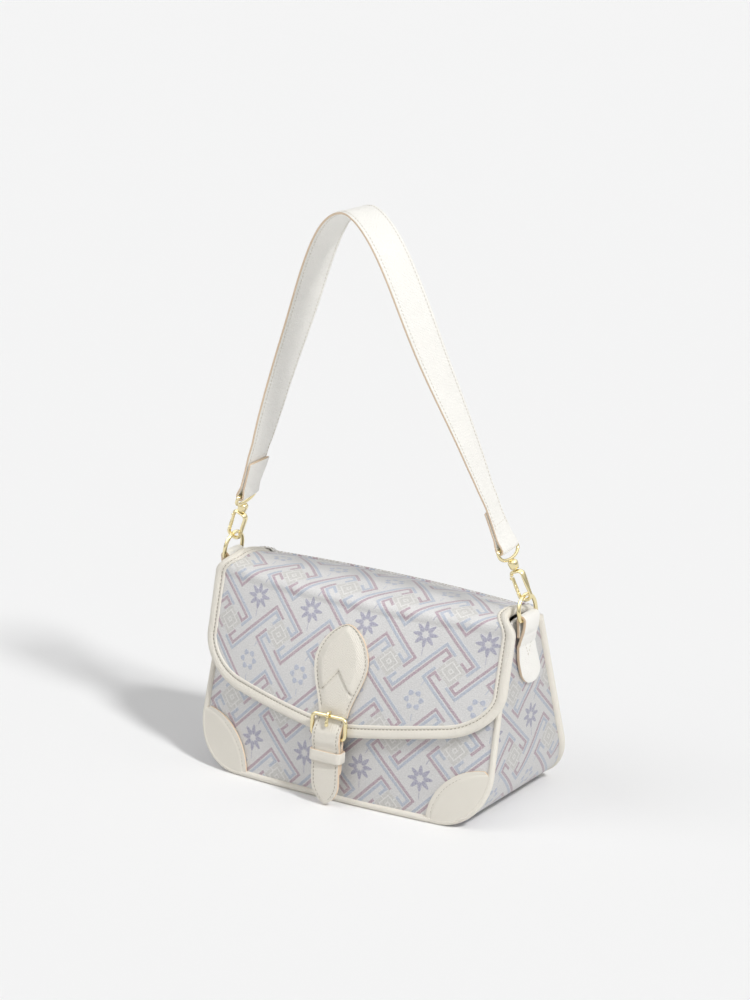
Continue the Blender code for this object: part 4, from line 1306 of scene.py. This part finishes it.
class BAG_OT_flap_edging(bpy.types.Operator):
    """Leather strip round the flap: one profile carried along its edge"""

    bl_idname = "bag.flap_edging"
    bl_label = "Flap edging"

    def execute(self, context):
        flap_binding()
        return {"FINISHED"}


class BAG_OT_leaf(bpy.types.Operator):
    """Leaf patch: an outline of two cubics, crowned, with sewn lines"""

    bl_idname = "bag.leaf"
    bl_label = "Leaf patch"

    def execute(self, context):
        leaf()
        return {"FINISHED"}


class BAG_OT_closure(bpy.types.Operator):
    """Closing strap, the strap under it and the keeper band"""

    bl_idname = "bag.closure"
    bl_label = "Closure straps"

    def execute(self, context):
        under = ([19.5, 61.0], [9.7, 9.7])
        strap_end("buckle_strap", 11.0, 19.5, 61.0, 8.0, under, 2.2, "buckle_chape", False)
        strap_end("closing_strap", 11.7, 1.5, BILLET[0][-1], 17.0, BILLET, 2.4, "billet_strap", True)
        keeper()
        return {"FINISHED"}


class BAG_OT_buckle(bpy.types.Operator):
    """Buckle frame and the short prong hooked on its top bar"""

    bl_idname = "bag.buckle"
    bl_label = "Buckle"

    def execute(self, context):
        buckle()
        return {"FINISHED"}


class BAG_OT_ring_tabs(bpy.types.Operator):
    """Leather loops that hold the two rings on the gusset"""

    bl_idname = "bag.ring_tabs"
    bl_label = "Ring tabs"

    def execute(self, context):
        for side, tail in SIDES:
            ring_tab(side, tail)
        return {"FINISHED"}


class BAG_OT_hooks(bpy.types.Operator):
    """Rings, spring hooks, swivels and bails on both sides"""

    bl_idname = "bag.hooks"
    bl_label = "Rings and hooks"

    def execute(self, context):
        for side, tail in SIDES:
            d_ring(side, tail)
            m = hook_frame(side)
            hook(m, tail)
            swivel(m, tail)
        return {"FINISHED"}


class BAG_OT_strap(bpy.types.Operator):
    """Short strap: a ribbon along an arch, round both bails and folded back"""

    bl_idname = "bag.strap"
    bl_label = "Strap"

    def execute(self, context):
        strap()
        return {"FINISHED"}


class BAG_OT_small_parts(bpy.types.Operator):
    """Finishes for the snap and the base board, which keep their own shape"""

    bl_idname = "bag.small_parts"
    bl_label = "Small parts"

    def execute(self, context):
        for name, mat in (("snap_socket", "steel"), ("snap_stud", "steel"), ("base_board", "lining")):
            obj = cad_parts[name]
            obj.data.materials.clear()
            obj.data.materials.append(finish(mat))
        return {"FINISHED"}


def light(name, energy, soft, turn, height):
    """Sun of the strength and angle, at the turn from the front towards the right and the height."""
    lamp = bpy.data.lights.new(name, "SUN")
    lamp.energy = energy
    lamp.angle = soft
    sun = bpy.data.objects.new(name, lamp)
    flat = math.cos(height)
    aim = Vector((flat * math.sin(turn), -flat * math.cos(turn), math.sin(height)))
    sun.rotation_euler = aim.to_track_quat("Z", "Y").to_euler()
    bpy.context.scene.collection.objects.link(sun)
    return sun


def surround(s):
    """World: an even back for the camera, a dome brighter overhead for gloss, else an even sky."""
    g = Graph(bpy.data.worlds.new("surround"), "World Output")
    rise = g.node("SeparateXYZ", {0: g.node("TexCoord", out="Generated")}, 2)
    limits = {"Value": rise, "From Min": -0.1, "From Max": 0.7, "To Min": 0.28, "To Max": 1.8}
    strength = g.node("MapRange", limits, interpolation_type="SMOOTHSTEP")
    dome = g.node("Background", {"Strength": strength})
    sky = g.node("Background", {"Color": (1.0, 1.0, 1.0), "Strength": s.sky})
    back = g.node("Background", {"Color": s.back})
    lit = g.node("MixShader", {0: g.node("LightPath", out="Is Glossy Ray"), 1: sky, 2: dome})
    g.set(Surface=g.node("MixShader", {0: g.node("LightPath", out="Is Camera Ray"), 1: lit, 2: back}))
    return g.owner


class BAG_OT_stage(bpy.types.Operator):
    """Plain floor, soft sun, white surround and the camera"""

    bl_idname = "bag.stage"
    bl_label = "Stage"

    def execute(self, context):
        s = context.scene.bag_stage
        r = 30.0
        mesh = bpy.data.meshes.new("floor")
        mesh.from_pydata([(-r, -r, 0), (r, -r, 0), (r, r, 0), (-r, r, 0)], [], [(0, 1, 2, 3)])
        mesh.materials.append(plain("floor", s.floor, 0.9))
        floor = bpy.data.objects.new("floor", mesh)
        context.scene.collection.objects.link(floor)
        sun = light("sun", s.sun, s.soft, s.turn, s.height)
        fill = light("fill", s.fill, 0.7, -0.85, 0.85)
        lens = bpy.data.cameras.new("camera")
        lens.lens = 162.0
        camera = bpy.data.objects.new("camera", lens)
        camera.location = (1.7071, -2.6381, 1.2728)
        camera.rotation_euler = (math.radians(71.41), 0.0, math.radians(33.0))
        context.scene.collection.objects.link(camera)
        context.scene.camera = camera
        context.scene.world = surround(s)
        context.scene.view_settings.view_transform = "Standard"
        return {"FINISHED"}


class BAG_PT_panel(bpy.types.Panel):
    """Buttons for every piece and their sizes and colours"""

    bl_idname = "BAG_PT_panel"
    bl_label = "Flap bag"
    bl_space_type = "VIEW_3D"
    bl_region_type = "UI"
    bl_category = "Bag"

    def draw(self, context):
        for attribute, group in GROUPS.items():
            box = self.layout.box()
            box.label(text=group.__doc__)
            for key in group.__annotations__:
                box.prop(getattr(context.scene, attribute), key)
        for operator in OPERATORS:
            self.layout.operator(operator.bl_idname)


OPERATORS = [
    BAG_OT_panels, BAG_OT_gusset, BAG_OT_lining, BAG_OT_edging, BAG_OT_patches, BAG_OT_flap,
    BAG_OT_flap_edging, BAG_OT_seam, BAG_OT_leaf, BAG_OT_closure, BAG_OT_buckle, BAG_OT_ring_tabs,
    BAG_OT_hooks, BAG_OT_strap, BAG_OT_small_parts, BAG_OT_stage,
]
CLASSES = [*GROUPS.values(), *OPERATORS, BAG_PT_panel]


def register():
    """Register the classes and hang the property groups on the scene."""
    for cls in CLASSES:
        bpy.utils.register_class(cls)
    for attribute, group in GROUPS.items():
        setattr(bpy.types.Scene, attribute, bpy.props.PointerProperty(type=group))


def unregister():
    """Take the property groups and the classes away again."""
    for attribute in GROUPS:
        delattr(bpy.types.Scene, attribute)
    for cls in reversed(CLASSES):
        bpy.utils.unregister_class(cls)


def main():
    """Register and call the operators in order."""
    register()
    for operator in OPERATORS:
        getattr(bpy.ops.bag, operator.bl_idname.split(".")[1])()


if __name__ == "__main__":
    main()
